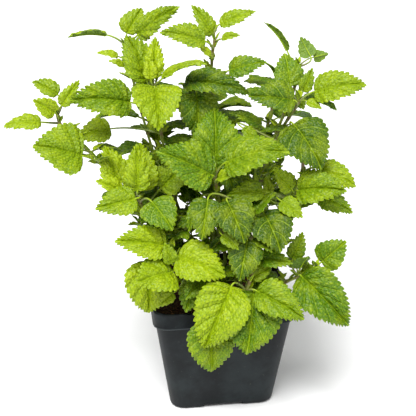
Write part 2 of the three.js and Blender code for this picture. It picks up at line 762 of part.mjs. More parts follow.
// Width and corner of the tapering wall's outside at a height.
function wallAt(z) {
  const share = z / (POT_HEIGHT - BAND_HEIGHT);
  const width = BASE_WIDTH + (WALL_TOP_WIDTH - BASE_WIDTH) * share;
  return [width, BASE_CORNER + (RIM_CORNER - BASE_CORNER) * share];
}

function wallRing(z, inward) {
  const [width, corner] = wallAt(z);
  return roundedSquare(width - 2 * inward, corner - inward, z);
}

// The pot: a tapering square cup with a band round its rim. Shallow channels cross its underside and
// leave a foot in each corner and a pad in the middle, with a drain hole in each arm.
function potSolid() {
  const bandFoot = POT_HEIGHT - BAND_HEIGHT;
  const cup = solid(loft([
    roundedSquare(BASE_WIDTH - 2 * BASE_EDGE, BASE_CORNER - BASE_EDGE, 0),
    wallRing(BASE_EDGE, 0),
    wallRing(bandFoot - BAND_LIP, 0),
    roundedSquare(BAND_WIDTH + BAND_LIP, RIM_CORNER, bandFoot),
    roundedSquare(BAND_WIDTH, RIM_CORNER, bandFoot + BAND_LIP),
    roundedSquare(RIM_WIDTH, RIM_CORNER, POT_HEIGHT - RIM_EDGE),
    roundedSquare(RIM_WIDTH - 2 * RIM_EDGE, RIM_CORNER, POT_HEIGHT),
    roundedSquare(RIM_WIDTH - 2 * (RIM_EDGE + WALL), RIM_CORNER - WALL, POT_HEIGHT),
    roundedSquare(BAND_WIDTH - 2 * (BAND_DRAFT + WALL), RIM_CORNER - WALL, bandFoot + BAND_LIP),
    wallRing(bandFoot - BAND_LIP, WALL),
    wallRing(FLOOR, WALL),
  ]));
  const channel = (length, width) => new THREE.BoxGeometry(length, width, 2 * CHANNEL_DEPTH);
  const across = 2 * BASE_WIDTH;
  let underside = solid(channel(across, CHANNEL_WIDTH)).add(solid(channel(CHANNEL_WIDTH, across)));
  const pad = new THREE.CylinderGeometry(CENTRE_PAD, CENTRE_PAD, 3 * CHANNEL_DEPTH, PAD_SIDES);
  pad.rotateX(Math.PI / 2);
  underside = underside.subtract(solid(pad));
  let pot = cup.subtract(underside);
  for (let arm = 0; arm < 4; arm++) {
    const angle = arm * Math.PI / 2;
    const drain = new THREE.CylinderGeometry(DRAIN_RADIUS, DRAIN_RADIUS, 4 * FLOOR, DRAIN_SIDES);
    drain.rotateX(Math.PI / 2).translate(DRAIN_PLACE * Math.cos(angle), DRAIN_PLACE * Math.sin(angle), 0);
    pot = pot.subtract(solid(drain));
  }
  return pot;
}

// The soil fills the pot to its level. Its top is uneven, and each stem has its own plain hole.
function soilSolid() {
  const draw = draws(5);
  const inward = WALL + SEAT_GAP;
  const top = SOIL_LEVEL - SOIL_CRUMB;
  const rings = [wallRing(FLOOR + SEAT_GAP, inward), wallRing(POT_HEIGHT - BAND_HEIGHT - BAND_LIP, inward)];
  const [width, corner] = [WALL_TOP_WIDTH - 2 * inward, RIM_CORNER - inward];
  for (const share of SOIL_RINGS) {
    const ring = roundedSquare(width * share, corner * share, top);
    ring.forEach((point) => {
      point.z += draw([0, 2 * SOIL_CRUMB]) + (1 - share) * SOIL_CROWN;
    });
    rings.push(ring);
  }
  let soil = solid(loft(rings));
  for (const { foot: [x, y] } of Object.values(SHOOTS)) {
    const side = STEM_FOOT * Math.SQRT2 + 2 * SEAT_GAP;
    const hole = new THREE.BoxGeometry(side, side, 2 * HOLE_DEPTH);
    hole.translate(x, y, SOIL_LEVEL - SEAT_GAP);
    soil = soil.subtract(planted(solid(hole)));
  }
  return soil;
}

function meshOf(name, manifold, color, roughness) {
  const material = new THREE.MeshStandardMaterial({ color, roughness, metalness: 0 });
  const mesh = new THREE.Mesh(geometryOf(manifold), material);
  mesh.name = name;
  return mesh;
}

const stems = {};
for (const [name, shoot] of Object.entries(SHOOTS)) {
  const curve = stemCurve(shoot);
  const points = curve.getSpacedPoints(Math.round(curve.getLength() / STEM_SPACING));
  stems[name] = { curve, nodes: stemNodes(curve), points };
}
const leaves = growLeaves(stems);

const group = new THREE.Group();
group.add(meshOf('pot', potSolid(), POT_COLOUR, POT_ROUGHNESS));
group.add(meshOf('soil', soilSolid(), SOIL_COLOUR, SOIL_ROUGHNESS));
for (const [name, shoot] of Object.entries(SHOOTS)) {
  const own = leaves.filter((leaf) => leaf.shoot === name);
  group.add(meshOf(`shoot_${name}`, shootSolid(stems[name].curve, own), shoot.colour, LEAF_ROUGHNESS));
}

export default group;
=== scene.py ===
"""A young herb of the mint family in its square black nursery pot.

Every leafy stem of the frame is replaced by a finer one, grown by the same rule: the stem's curve, the
leaves' places and attitudes, and the blades' arch, fold and wave are worked out from the same sizes.
Sizes are in millimetres until a mesh is made. +Z is up and the front is towards -Y.
"""
import math
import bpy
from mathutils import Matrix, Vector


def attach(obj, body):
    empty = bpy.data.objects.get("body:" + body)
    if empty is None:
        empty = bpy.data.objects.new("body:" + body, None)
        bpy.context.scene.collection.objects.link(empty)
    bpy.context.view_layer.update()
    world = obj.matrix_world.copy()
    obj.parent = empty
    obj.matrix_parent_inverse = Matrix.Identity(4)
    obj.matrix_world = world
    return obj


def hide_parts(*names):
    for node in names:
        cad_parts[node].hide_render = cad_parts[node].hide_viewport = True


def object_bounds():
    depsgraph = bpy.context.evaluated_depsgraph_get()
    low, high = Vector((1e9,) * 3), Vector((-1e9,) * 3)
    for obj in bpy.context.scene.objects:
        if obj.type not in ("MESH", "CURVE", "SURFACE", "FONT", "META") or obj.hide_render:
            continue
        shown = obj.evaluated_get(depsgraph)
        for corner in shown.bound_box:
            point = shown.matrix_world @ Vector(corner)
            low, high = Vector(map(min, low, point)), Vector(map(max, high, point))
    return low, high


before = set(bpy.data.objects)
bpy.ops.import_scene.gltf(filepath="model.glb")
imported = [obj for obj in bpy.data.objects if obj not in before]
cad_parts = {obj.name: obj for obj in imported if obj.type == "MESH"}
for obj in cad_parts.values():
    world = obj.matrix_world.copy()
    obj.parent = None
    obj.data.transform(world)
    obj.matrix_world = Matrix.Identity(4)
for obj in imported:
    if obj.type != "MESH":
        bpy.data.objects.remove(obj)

from types import SimpleNamespace

import bmesh
import bpy
import numpy as np
from mathutils import Matrix, Vector

CAD_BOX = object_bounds()
MM = 0.001
TINY = 1e-9

# Pot
CORNER = 11
BAND_HEIGHT = 12
BAND_LIP = 1.2
WALL_TOP_WIDTH = 101
BASE_WIDTH = 79
POT_HEIGHT = 88
WALL = 1.5
FLOOR = 5.2
EDGE_ROUND = 0.4
EDGE_ANGLE = 38
MERGE_WITHIN = 1e-5
FLAT_WITHIN = 1

# Soil, with its loose crumbs and fibres
SOIL_LEVEL = 81
SOIL_CRUMB = 1.3
SOIL_CROWN = 1.5
CLOD_SIZE = 3.4
GRAIN_SIZE = 1.5
SOIL_JITTER = 0.62
SEAT_GAP = 0.3
HOLE_DEPTH = 9
SOIL_RINGS = 46
SOIL_SIDES = 160
OFF_AXIS = 1e-4
CRUMBS = 1500
CRUMB_SIZE = (0.35, 1.3)
CRUMB_MARGIN = 2.5
CRUMB_STRETCH = (0.5, 1.2)
CRUMB_SHAPE = (1.2, 0.8, 0.6)
CRUMB_LIFT = 0.15
CRUMB_TINT = 0.8
SOIL_SEED = 11
FIBRES = 210
FIBRE_POINTS = 7
FIBRE_LIFT = 0.35
FIBRE_ARCH = 0.9
FIBRE_TINT = (0.3, 1)
FIBRE_LENGTH = (4, 11)
FIBRE_RADIUS = (0.1, 0.24)
FIBRE_BEND = 0.25
FIBRE_MARGINS = (8, 2)

# How the plant stands in the pot: turned about the pot's axis, in degrees, then moved
PLANT_TURN = 3
PLANT_SHIFT = [3, -4.3]

# Stems
STEM_FOOT = 1.7
STEM_TIP = 1.15
STEM_END = 0.55
NODE_STEPS = (2, 5, 1)
BARE_FOOT = 25
STEM_RISE = 3
STEM_STEP = 2.2
STEM_SIDES = 16
STEM_FLAT = 0.72
STEM_HOLLOW = 0.98
STEM_EDGE = 0.96
NODE_SWELL = 0.34
NODE_SWELL_LENGTH = 1.7
STEM_BROWN_SHARES = (0.25, 0.75, 0.25)
BROWN_TIP = 60
STEM_YELLOWING = (0.4, 0.3)

# Hairs on stems and petioles
HAIRS_PER_MM = 1.1
HAIR_LENGTH = (0.45, 1.1)
HAIR_RADIUS = 0.045
HAIR_SPAN = (0.02, 0.98)
HAIR_LEAN = (-0.1, 0.5)
HAIR_ROOT = 0.6
HAIR_SKIN = 0.35
HAIR_TONE = (0.8, 0, 1)

# Sprouts in the axils, first those of the youngest nodes and then the others, in millimetres and degrees
YOUNGEST_NODES = 2
SPROUT_LENGTH = ((5, 8), (6, 11))
SPROUT_RISE = ((50, 70), (20, 55))
SPROUT_SWING = (-20, 20)
SPROUT_REACH = (1.6, 3.2)
SPROUT_TINT = (0.5, 0.9)
SPROUT_WIDTH = 0.62

# Short side shoots in the older axils: how far to the front and how high they grow, how far back they
# stand in twos, and their sizes
SIDE_SHOOT_PLACE = (-26, 188)
SIDE_SHOOT_TWOS = 12
SIDE_SHOOT_LENGTH = (7, 15)
SIDE_SHOOT_SWING = (35, 75)
SIDE_SHOOT_RISE = (15, 50)
SIDE_SHOOT_SAG = 0.12
SIDE_SHOOT_POINTS = 5
SIDE_SHOOT_RADII = (0.75, 0.5)
SIDE_SHOOT_TONE = (0.7, 0.25, 0)
SIDE_LEAF_LENGTH = (9, 15)
SIDE_LEAF_TURN = (50, 80)
SIDE_LEAF_SWING = (-12, 12)
SIDE_LEAF_REACH = (1.5, 3)
SIDE_LEAF_TINT = (0.4, 0.8)
SIDE_PAIRS = ((1, 22, 0), (0.62, 50, 35))

# Petioles, and the ribs that they run on in under the blades; pairs are for a small leaf, then a grown one
PETIOLE_RADIUS = 0.8
PETIOLE_DROP = 6
PETIOLE_POINTS = 6
PETIOLE_SIDES = (5, 8)
PETIOLE_ROWS = (4, 9)
RIB_ROWS = (4, 12)
RIB_SPAN = (0.04, 0.86)
RIB_TAPER = (0.7, 0.56)
RIB_DEPTH = 0.7
STALK_TAPER = (1.2, 0.45, 0.3)
SLIMMEST = 0.62
STOUT_LENGTH = 30
SMALL_LEAF = 13

# Blades: angles in degrees, but the wave's turn and phase in radians, and widths in lengths of the blade
SWEEP = 0.1
BASE_FULLNESS = 0.26
MARGIN_POWER = 0.72
MIDRIB_POWER = 1.5
VEIN_POWER = 1.3
FOLD = (2, 20)
DROOP = 40
DROOP_RANGE = (-10, 14)
SMALL_DROOP = 0.4
GROWN_LENGTH = 36
WAVE = (0.01, 0.03)
WAVE_TURN = 9
FAR_SIDE_PHASE = 2

# Pairs of leaves down a stem
PAIR_SWING = (-12, 12)
PAIR_LENGTH = (12, 8)
PAIR_SCALE = (0.85, 1.05)
PAIR_RISE = (48, -14)
OLD_PAIR = 4
OLD_PAIR_RISE = -8
PAIR_RISE_RANGE = (-8, 8)
PAIR_WIDTH = (0.72, 0.88)
PAIR_LEAN = 18
PAIR_PETIOLE = (3, 0.22)
PAIR_PETIOLE_RISE = 25

# Clearances between leaves and stems, and how far round a leaf they are looked for
BLADE_GAP = 1.4
STEM_GAP = 2.6
PETIOLE_GAP = 1.9
CROSS_GAP = 3.3
GAP_MARGIN = 0.7
STEM_SPACING = 4
STEM_REACH = 8
OWN_NODE = 4
LEAF_REACH = 0.62
LEAF_SPARE = 3
BLADE_CENTRE = 0.45
SAMPLE_ROWS = 8
SAMPLE_STRIPS = (-1, -0.5, 0, 0.5, 1)
SEED_STEP = 7919
FAR_AWAY = 1e6

# The attitudes that a leaf tries in turn: its scale, swing and lift
ATTITUDES = [
    (scale, swing, lift)
    for scale in (1, 0.85, 0.7)
    for swing in (0, 12, -12, 24, -24)
    for lift in (0, 8, -8, 16, -16, 24, -24)
]

# Finish of a blade, in millimetres on a leaf of the relief's length
RELIEF_LENGTH = 45
RELIEF_MOST = 1.15
CRUMPLE = (0.75, 1.25)
BLADE_THICKNESS = 0.4
EDGE_THINNING = 0.55
EDGE_POWER = 6
TEETH_PER_MM = 0.36
FEWEST_TEETH = 4
TOOTH_ROWS = (3, 4)
TOOTH_WARP = 1.25
TOOTH_DEEP = 1.3
TOOTH_MOST = 0.3
TOOTH_RUFFLE = 0.4
TOOTH_POWER = 4
VEIN_PAIRS_PER_MM = 0.13
FEWEST_PAIRS = 4
VEIN_SLANT = 0.13
SLANT_POWER = 1.6
VEIN_WAVER = 0.08
MIDRIB_SPREAD = 0.3
PILLOW = 1.6
PILLOW_POWER = 0.65
RIB_SINK = 0.35
NET_PILLOW = 0.78
NET_CELL = 2.7
NET_PER_VEIN = 3
NET_JITTER = 0.6
NET_IN_CREASE = 0.35
CELL_EDGE = 0.5
FLARE = 0.8
CAMBER = 0.9
END_FADE = (0.08, 0.1)
CROWN_FADE = (0.2, 0.2)
PATTERN_PLACES = 1013
PATTERN_STEP = 1.7
COLUMNS_PER_MM = (0.8, 1.1)
UNDER_STEP = (2, 4)

SHOOTS = {}


def plan_shoot(name, foot, path, pairs, *leaves):
    """Keeps a shoot's plan: where its foot stands in the soil, the points that its stem passes, its
    pairs, and its listed leaves. pairs holds the nodes that carry pairs besides, the first pair's
    heading, the greatest length and the tint. A leaf holds x, y, z of the blade's base, heading and
    rise of the midrib, length, lean of its face to the front, width by length, and its tint, from 0,
    deep green, to 1, lime. The tints are partly the leaves' own colour and partly painted light and
    shade: lower for leaves in the plant's shade, higher for lit ones."""
    SHOOTS[name] = SimpleNamespace(foot=foot, path=path, pairs=pairs, leaves=leaves)


plan_shoot(
    "left_tall", [-12, 4], [[-35, 12, 162], [-42, 11, 202], [-47, 9, 238], [-48, 9, 244]],
    [[5, 7], 135, 32, 0.45],
    [-52, 12, 245, 124, 53, 37, 40, 0.78, 0.77], [-48, 9, 248, 75, 62, 30, 47, 0.5, 0.9],
    [-50, 6, 248, 100, 75, 15, 60, 0.7, 0.85], [-42, 3, 249, -17, 19, 33, 5, 0.6, 0.8],
    [-48, 1, 243, -93, -41, 36, 42, 1, 0.88], [-65, 6, 232, -176, 5, 43, 52, 0.68, 0.52],
    [-79, 18, 210, 179, -13, 25, 48, 0.8, 0.85],
)
plan_shoot(
    "left_back", [-10, 16], [[-40, 34, 165], [-58, 42, 235], [-63, 43, 266]], [[4], 0, 30, 0.45],
    [-55, 40, 273, -19, 34, 38, 45, 0.5, 0.75], [-62, 47, 273, 25, 46, 23, 40, 0.8, 0.85],
    [-77, 45, 273, 177, -3, 28, -12, 0.65, 0.75], [-71, 26, 261, -179, 11, 15, 30, 0.55, 0.9],
    [-67, 19, 256, -174, 18, 12, 35, 0.6, 0.85],
)
plan_shoot(
    "far_left", [-22, -4], [[-67, 7, 166], [-90, 6, 192], [-111, 8, 213], [-116, 10, 221], [-116, 11, 226]],
    [[4], 10, 24, 0.6],
    [-115, 17, 237, 154, 23, 21, 40, 0.7, 0.8], [-118, 6, 227, -169, 36, 18, 60, 0.8, 0.75],
    [-113, 10, 231, 21, 48, 22, 62, 0.5, 0.8], [-128, 9, 220, -179, -5, 26, 30, 0.6, 0.95],
    [-101, -8, 199, -175, 16, 35, 45, 1.15, 0.82],
)
plan_shoot(
    "left_low", [-20, -14], [[-56, -15, 146], [-63, -20, 168], [-65, -20, 174]], [[3, 5], 0, 28, 0.4],
    [-76, -6, 176, 136, 65, 29, 58, 0.75, 0.9], [-65, -26, 177, 82, 80, 33, 65, 0.55, 0.8],
    [-62, -8, 171, 72, 75, 34, 55, 0.8, 0.95], [-76, -25, 177, -175, 28, 20, 40, 0.7, 0.85],
    [-67, -33, 174, -170, -8, 29, 52, 0.75, 0.68], [-56, -33, 171, -55, -37, 26, 50, 1, 0.55],
    [-46, -7, 171, 0, 42, 27, 50, 0.9, 0.8],
)
plan_shoot(
    "middle", [2, -8], [[-3, -18, 148], [-9, -26, 176], [-11, -28, 186]], [[3, 4, 5], 30, 32, 0.3],
    [-9, -21, 188, 82, 62, 44, 55, 0.88, 0.45], [-13, -31, 187, -178, 27, 44, 52, 0.76, 0.5],
    [-3, -31, 196, -24, 13, 45, 35, 0.75, 0.68], [-9, -33, 185, -33, 22, 17, 40, 0.6, 0.8],
)
plan_shoot(
    "right_tall", [14, 10], [[36, 0, 190], [44, -3, 210], [52, -6, 225], [55, -8, 232]],
    [[5, 7], 120, 32, 0.35],
    [49, -13, 233, -177, 8, 34, 50, 0.72, 0.18], [65, -10, 238, -20, 9, 37, 45, 0.7, 0.75],
    [50, 0, 240, 99, 60, 25, 55, 0.9, 0.6], [58, -5, 237, 10, 60, 18, 50, 0.6, 0.7],
    [59, -13, 232, -39, -22, 12, 45, 0.7, 0.6],
)
plan_shoot(
    "right_back", [18, 20], [[40, 14, 190], [55, 8, 236], [58, 9, 254]], [[3, 6], 60, 30, 0.4],
    [67, 10, 259, 130, 55, 16, -95, 0.8, 0.7], [53, 23, 261, 154, 48, 27, -20, 0.45, 0.9],
    [70, 12, 258, 9, 8, 12, -105, 0.8, 0.7],
)
plan_shoot(
    "top", [0, 12], [[-2, 11, 200], [-4, 19, 250], [-3, 21, 263], [-1, 22, 272]], [[5, 7], 0, 34, 0.35],
    [-2, 27, 274, 157, 52, 26, 45, 0.55, 0.7], [3, 24, 282, -13, 19, 27, 40, 0.52, 0.8],
    [3, 16, 273, -29, 12, 14, 45, 0.55, 0.75], [-10, 14, 272, -180, 12, 33, 48, 0.6, 0.6],
    [-6, 14, 262, -170, 35, 12, 45, 0.6, 0.85], [8, 15, 250, -21, 14, 28, 48, 0.62, 0.55],
)
plan_shoot(
    "inner", [-3, 4], [[-10, 9, 190], [-15, 15, 230], [-17, 17, 240]], [[3, 4, 5, 6], 30, 34, 0.3],
    [-25, 10, 243, -22, -8, 48, 40, 0.5, 0.3], [-17, 10, 236, -92, -64, 33, 50, 0.9, 0.2],
    [29, -1, 212, -177, 24, 27, 30, 0.5, 0.25],
)
plan_shoot(
    "right_mid", [20, -2], [[45, -20, 150], [52, -27, 178], [54, -27, 198]], [[5], 135, 30, 0.3],
    [47, -21, 218, -50, -49, 38, 45, 1, 0.25], [46, -14, 211, 178, 0, 21, 10, 0.45, 0.4],
    [13, -12, 214, -18, -45, 17, 45, 0.6, 0.4], [68, -22, 184, -23, -25, 29, 42, 0.75, 0.75],
    [49, -32, 172, -28, 5, 35, 50, 0.8, 0.72], [67, -22, 162, -23, -22, 28, 45, 0.7, 0.75],
    [34, -43, 169, -33, -33, 19, 50, 0.8, 0.6], [46, -27, 171, 170, 48, 21, 55, 0.75, 0.75],
    [29, -26, 168, 118, 76, 13, 60, 0.7, 0.8], [23, -33, 173, -179, -3, 26, 45, 0.65, 0.5],
)
plan_shoot(
    "front_mid", [8, -18], [[14, -38, 135], [10, -42, 157], [7, -42, 168]], [[2, 3, 4], 20, 26, 0.35],
    [-5, -44, 172, -66, -50, 32, 45, 0.9, 0.1], [-18, -41, 173, -115, -54, 29, 42, 0.8, 0.25],
    [-10, -54, 151, -36, -36, 15, 50, 0.75, 0.4], [-25, -36, 168, -132, -58, 20, 40, 0.5, 0.4],
    [22, -41, 160, -74, -40, 32, 45, 1.05, 0.1], [8, -52, 145, -124, -61, 29, 45, 0.85, 0.2],
    [19, -46, 127, -31, 0, 24, 45, 0.65, 0.6],
)
plan_shoot(
    "front_left", [-16, -22], [[-34, -38, 116], [-42, -42, 133], [-45, -42, 138]], [[2, 3], 90, 24, 0.5],
    [-48, -41, 141, -177, 10, 36, 50, 0.72, 0.78], [-40, -46, 134, -23, -20, 36, 48, 0.85, 0.85],
    [-45, -49, 124, -148, 2, 32, 42, 0.95, 0.85], [-45, -50, 131, 162, 73, 16, 55, 0.7, 0.7],
    [-44, -50, 108, -178, -40, 15, 40, 0.7, 0.65], [-28, -42, 112, -129, -58, 23, 35, 0.8, 0.55],
    [-59, -34, 127, -112, -57, 39, 42, 0.95, 1.0],
)
plan_shoot(
    "front_low", [2, -28], [[5, -54, 103], [8, -59, 115], [10, -60, 124]], [[], 0, 20, 0.45],
    [-5, -61, 115, -160, -62, 48, 50, 0.82, 0.72], [-20, -55, 85, -83, -79, 37, 50, 0.95, 0.55],
    [12, -57, 108, -116, -65, 45, 50, 1, 0.46], [13, -61, 110, -25, -28, 39, 48, 0.72, 0.74],
    [11, -53, 116, 15, 28, 18, 50, 0.65, 0.55],
)
plan_shoot(
    "right_low", [24, -18], [[34, -38, 101], [46, -47, 111], [57, -49, 116], [61, -50, 119]],
    [[2, 3], 90, 20, 0.4],
    [65, -44, 120, -10, 44, 24, 52, 0.95, 0.48], [64, -53, 113, -34, 0, 9, 45, 0.7, 0.5],
    [48, -51, 114, -30, -43, 50, 68, 0.7, 0.5], [58, -47, 114, 160, 42, 17, 50, 0.45, 0.55],
    [45, -39, 122, 25, 66, 21, 55, 0.65, 0.5],
)
plan_shoot(
    "low_inner", [-6, -14], [[-14, -26, 105], [-18, -34, 122], [-19, -36, 130]], [[1, 3], 50, 30, 0.3],
    [-12, -40, 106, -60, -38, 27, 48, 0.8, 0.5], [-22, -44, 116, -140, -30, 22, 45, 0.75, 0.5],
    [14, -36, 104, -30, -20, 27, 45, 0.8, 0.45],
)
plan_shoot(
    "back_left", [-12, 26], [[-35, 57, 166], [-46, 72, 207], [-44, 78, 224]],
    [[0, 2, 3, 4, 5, 6], 100, 38, 0.55],
)
plan_shoot(
    "back_middle", [2, 28], [[1, 63, 172], [0, 77, 209], [4, 82, 222]],
    [[0, 2, 3, 4, 5, 7], 45, 38, 0.55],
)
plan_shoot(
    "back_right", [16, 30], [[42, 58, 170], [55, 66, 212], [58, 70, 232]],
    [[0, 2, 3, 4, 5, 6], 20, 38, 0.55],
)
plan_shoot(
    "low_left", [-26, 8], [[-44, 18, 125], [-55, 24, 150], [-58, 26, 163]], [[0, 2, 3], 30, 32, 0.55],
)
plan_shoot(
    "low_back_left", [-24, 24], [[-40, 62, 120], [-50, 78, 140], [-53, 84, 152]],
    [[0, 2, 3, 4], 100, 34, 0.55],
)
plan_shoot(
    "low_back_right", [26, 22], [[42, 56, 118], [52, 74, 138], [55, 80, 150]],
    [[0, 2, 3, 4], 60, 34, 0.55],
)


# Layout: where each stem and leaf stands


def draws(seed):
    """Small repeatable draws: each call moves the state on and gives a number in its range."""
    state = seed

    def draw(span):
        nonlocal state
        state = (state * 9301 + 49297) % 233280
        return span[0] + (span[1] - span[0]) * state / 233280

    return draw


def direction(heading, rise):
    """Unit vector of a compass heading and a rise, both in degrees."""
    flat = math.cos(math.radians(rise))
    turn = math.radians(heading)
    return np.array([math.cos(turn) * flat, math.sin(turn) * flat, math.sin(math.radians(rise))])


def unit(vectors):
    """Vectors over their own lengths."""
    return vectors / np.maximum(np.linalg.norm(vectors, axis=-1, keepdims=True), TINY)


def beside(*parts):
    """Parts side by side along a last axis, each a number or an array."""
    return np.stack(np.broadcast_arrays(*parts), axis=-1)


def shares(count):
    """Evenly spaced shares from 0 to 1."""
    return np.linspace(0, 1, count)


def turned(points, angle):
    """Points turned about Z: x cos - y sin, and x sin + y cos."""
    x, y, z = np.moveaxis(points, -1, 0)
    return beside(x * np.cos(angle) - y * np.sin(angle), x * np.sin(angle) + y * np.cos(angle), z)


def outline(theta, half_width):
    """Half outline of a blade one long: x runs as (1 - cos)/2 swept back by part of sin, and y as
    sin, fuller towards the petiole. theta is 0 at the petiole and pi at the tip."""
    c = np.cos(theta)
    s = np.sin(theta)
    return (1 - c) / 2 - s * SWEEP, half_width * s * (1 + BASE_FULLNESS * c)


OUTLINE_X, OUTLINE_Y = outline(np.linspace(0, np.pi, 25), 1.0)
OUTLINE_FIRST = int(np.argmin(OUTLINE_X))


def half_width_at(x):
    """Half width of the outline at x, between points of the outline."""
    y = np.interp(x, OUTLINE_X[OUTLINE_FIRST:], OUTLINE_Y[OUTLINE_FIRST:], left=0, right=0)
    return np.where(x <= 0, 0, y)


def blade_point(t, q, half_width):
    """A point of the blade, t along the midrib and q from the midrib, 0, to the margin, 1 or -1.
    Lines of one t are the side veins: they leave the midrib at t to a power, bend forward by another
    power of q, and meet the outline at its own power of t."""
    margin_x, margin_y = outline(np.pi * t ** MARGIN_POWER, half_width)
    midrib_x = t ** MIDRIB_POWER
    return midrib_x + (margin_x - midrib_x) * np.abs(q) ** VEIN_POWER, margin_y * q


def blade_rise(leaf, x, y, q):
    """Height of a blade over its chord: the arch of a circle's arc whose turn is the droop, the fold
    of both halves up from the midrib, and a wave that grows towards the margin."""
    half = leaf.droop / 2
    turn = leaf.droop * (x - 0.5)
    length = leaf.length
    radius = length / (2 * np.sin(half))
    side = np.where(y > 0, 0, FAR_SIDE_PHASE)
    waved = leaf.wave * length * q * np.sin(WAVE_TURN * x + leaf.phase + side)
    return radius * (np.cos(turn) - np.cos(half)) + length * np.abs(y) * np.sin(leaf.fold) + waved


def make_leaf(base, heading, rise, length, width, hint, seed):
    """A leaf's place, its three directions and what its seed draws for it."""
    draw = draws(seed)
    grown = min(1, length / GROWN_LENGTH)
    along = direction(heading, rise)
    face = unit(hint - along * (hint @ along))
    return SimpleNamespace(
        base=base, along=along, face=face, across=np.cross(face, along), length=length,
        half_width=width / 2, fold=math.radians(draw(FOLD)),
        droop=math.radians(DROOP * (SMALL_DROOP + (1 - SMALL_DROOP) * grown) + draw(DROOP_RANGE)),
        wave=draw(WAVE), phase=draw((0, 2 * math.pi)), seed=seed)


FIELDS = ("base", "along", "face", "across", "length", "half_width", "fold", "droop", "wave", "phase")


def stack(leaves):
    """The fields of many leaves as arrays, one row a leaf."""
    return SimpleNamespace(**{field: np.array([getattr(leaf, field) for leaf in leaves]) for field in FIELDS})


def picked(stacked, rows):
    """Some rows of stacked leaves, or all with an axis more."""
    return SimpleNamespace(**{field: value[rows] for field, value in vars(stacked).items()})


def surface(leaf, x, y, q):
    """Places on one blade, for x and y in lengths of it: along the chord by the arc, across by the
    cosine of the fold, and up by blade_rise."""
    half = leaf.droop / 2
    turn = leaf.droop * (x - 0.5)
    radius = leaf.length / (2 * math.sin(half))
    along = radius * (np.sin(turn) + math.sin(half))
    across = leaf.length * y * math.cos(leaf.fold)
    places = leaf.base + along[..., None] * leaf.along + across[..., None] * leaf.across
    return places + blade_rise(leaf, x, y, q)[..., None] * leaf.face


SAMPLE_T, SAMPLE_Q = np.meshgrid(shares(SAMPLE_ROWS), SAMPLE_STRIPS, indexing="ij")


def samples(leaf):
    """Points all over the blade, for judging its clearance."""
    x, y = blade_point(SAMPLE_T, SAMPLE_Q, leaf.half_width)
    return surface(leaf, x, y, np.abs(SAMPLE_Q)).reshape(-1, 3)


def meets(blades, points, gap):
    """For stacked blades and rows of points, whether a row has points within a gap of the blade, or
    on both of its sides. The points are taken back to x and y of the blade, and those over it are
    compared with its height."""
    blade = picked(blades, np.s_[:, None])
    half = blade.droop / 2
    length = blade.length
    margin = GAP_MARGIN * gap / length
    offset = points - blade.base
    chord = 2 * (offset * blade.along).sum(-1) / length
    bend = np.clip((chord - 1) * np.sin(half), -0.99, 0.99)
    x = np.arcsin(bend) / blade.droop + 0.5
    y = (offset * blade.across).sum(-1) / length / np.cos(blade.fold)
    reach = half_width_at(x) * blade.half_width + margin
    over = (x >= -0.05 - margin) & (x <= 1 + margin) & (np.abs(y) <= reach)
    q = np.minimum(1, np.abs(y) / reach)
    height = (offset * blade.face).sum(-1) - blade_rise(blade, x, y, q)
    lowest = np.where(over, height, np.inf).min(axis=1)
    highest = np.where(over, height, -np.inf).max(axis=1)
    return (lowest < gap) & (highest > -gap)


def petiole_path(leaf, node, count):
    """The petiole's curve, a parabola: it leaves the stem at its node, bends half way, and arrives
    along the midrib."""
    half = leaf.droop / 2
    arrival = leaf.along * math.cos(half) + leaf.face * math.sin(half)
    bend = leaf.base - arrival * (np.linalg.norm(leaf.base - node) / 2)
    t = shares(count + 1)[:, None]
    return (1 - t) ** 2 * node + 2 * t * (1 - t) * bend + t ** 2 * leaf.base


class StemCurve:
    """A smooth curve through points, centripetal Catmull-Rom, with its length shared out evenly."""

    DIVISIONS = 200

    def __init__(self, points):
        places = np.array(points, float)
        first = 2 * places[0] - places[1]
        last = 2 * places[-1] - places[-2]
        self.places = np.vstack([first, places, last])
        self.spans = len(places) - 1
        self.shares = shares(self.DIVISIONS + 1)
        self.lengths = lengths_along(self.at(self.shares))
        self.length = self.lengths[-1]

    def at(self, share):
        """Places at shares of the spans: a cubic on each span with the slopes of the uneven knots."""
        place = share * self.spans
        span = np.minimum(place.astype(int), self.spans - 1)
        w = (place - span)[:, None]
        p0, p1, p2, p3 = (self.places[span + k] for k in range(4))
        d0, d1, d2 = (((b - a) ** 2).sum(-1)[:, None] ** 0.25 for a, b in ((p0, p1), (p1, p2), (p2, p3)))
        slope1 = ((p1 - p0) / d0 - (p2 - p0) / (d0 + d1) + (p2 - p1) / d1) * d1
        slope2 = ((p2 - p1) / d1 - (p3 - p1) / (d1 + d2) + (p3 - p2) / d2) * d1
        third = 2 * p1 - 2 * p2 + slope1 + slope2
        second = 3 * p2 - 3 * p1 - 2 * slope1 - slope2
        return p1 + slope1 * w + second * w ** 2 + third * w ** 3

    def along(self, share):
        """Places at shares of the length."""
        return self.at(np.interp(share * self.length, self.lengths, self.shares))


def lengths_along(path):
    """Length reached at each point of a path."""
    return np.concatenate([[0], np.cumsum(np.linalg.norm(np.diff(path, axis=0), axis=1))])


def node_distance(k):
    """Distance from the tip of a stem to its node k, growing from node to node."""
    return NODE_STEPS[0] + NODE_STEPS[1] * k + NODE_STEPS[2] * k * k


def make_stem(plan):
    """A stem's curve, the places of its nodes from the tip down, and points along it."""
    x, y = plan.foot
    foot = [[x, y, SOIL_LEVEL - HOLE_DEPTH], [x, y, SOIL_LEVEL + STEM_RISE]]
    curve = StemCurve(foot + plan.path)
    count = 0
    while curve.length - node_distance(count) > BARE_FOOT:
        count += 1
    distances = node_distance(np.arange(count))
    rows = round(curve.length / STEM_SPACING)
    return SimpleNamespace(
        curve=curve, distances=distances, nodes=curve.along(1 - distances / curve.length),
        points=curve.along(shares(rows + 1)))


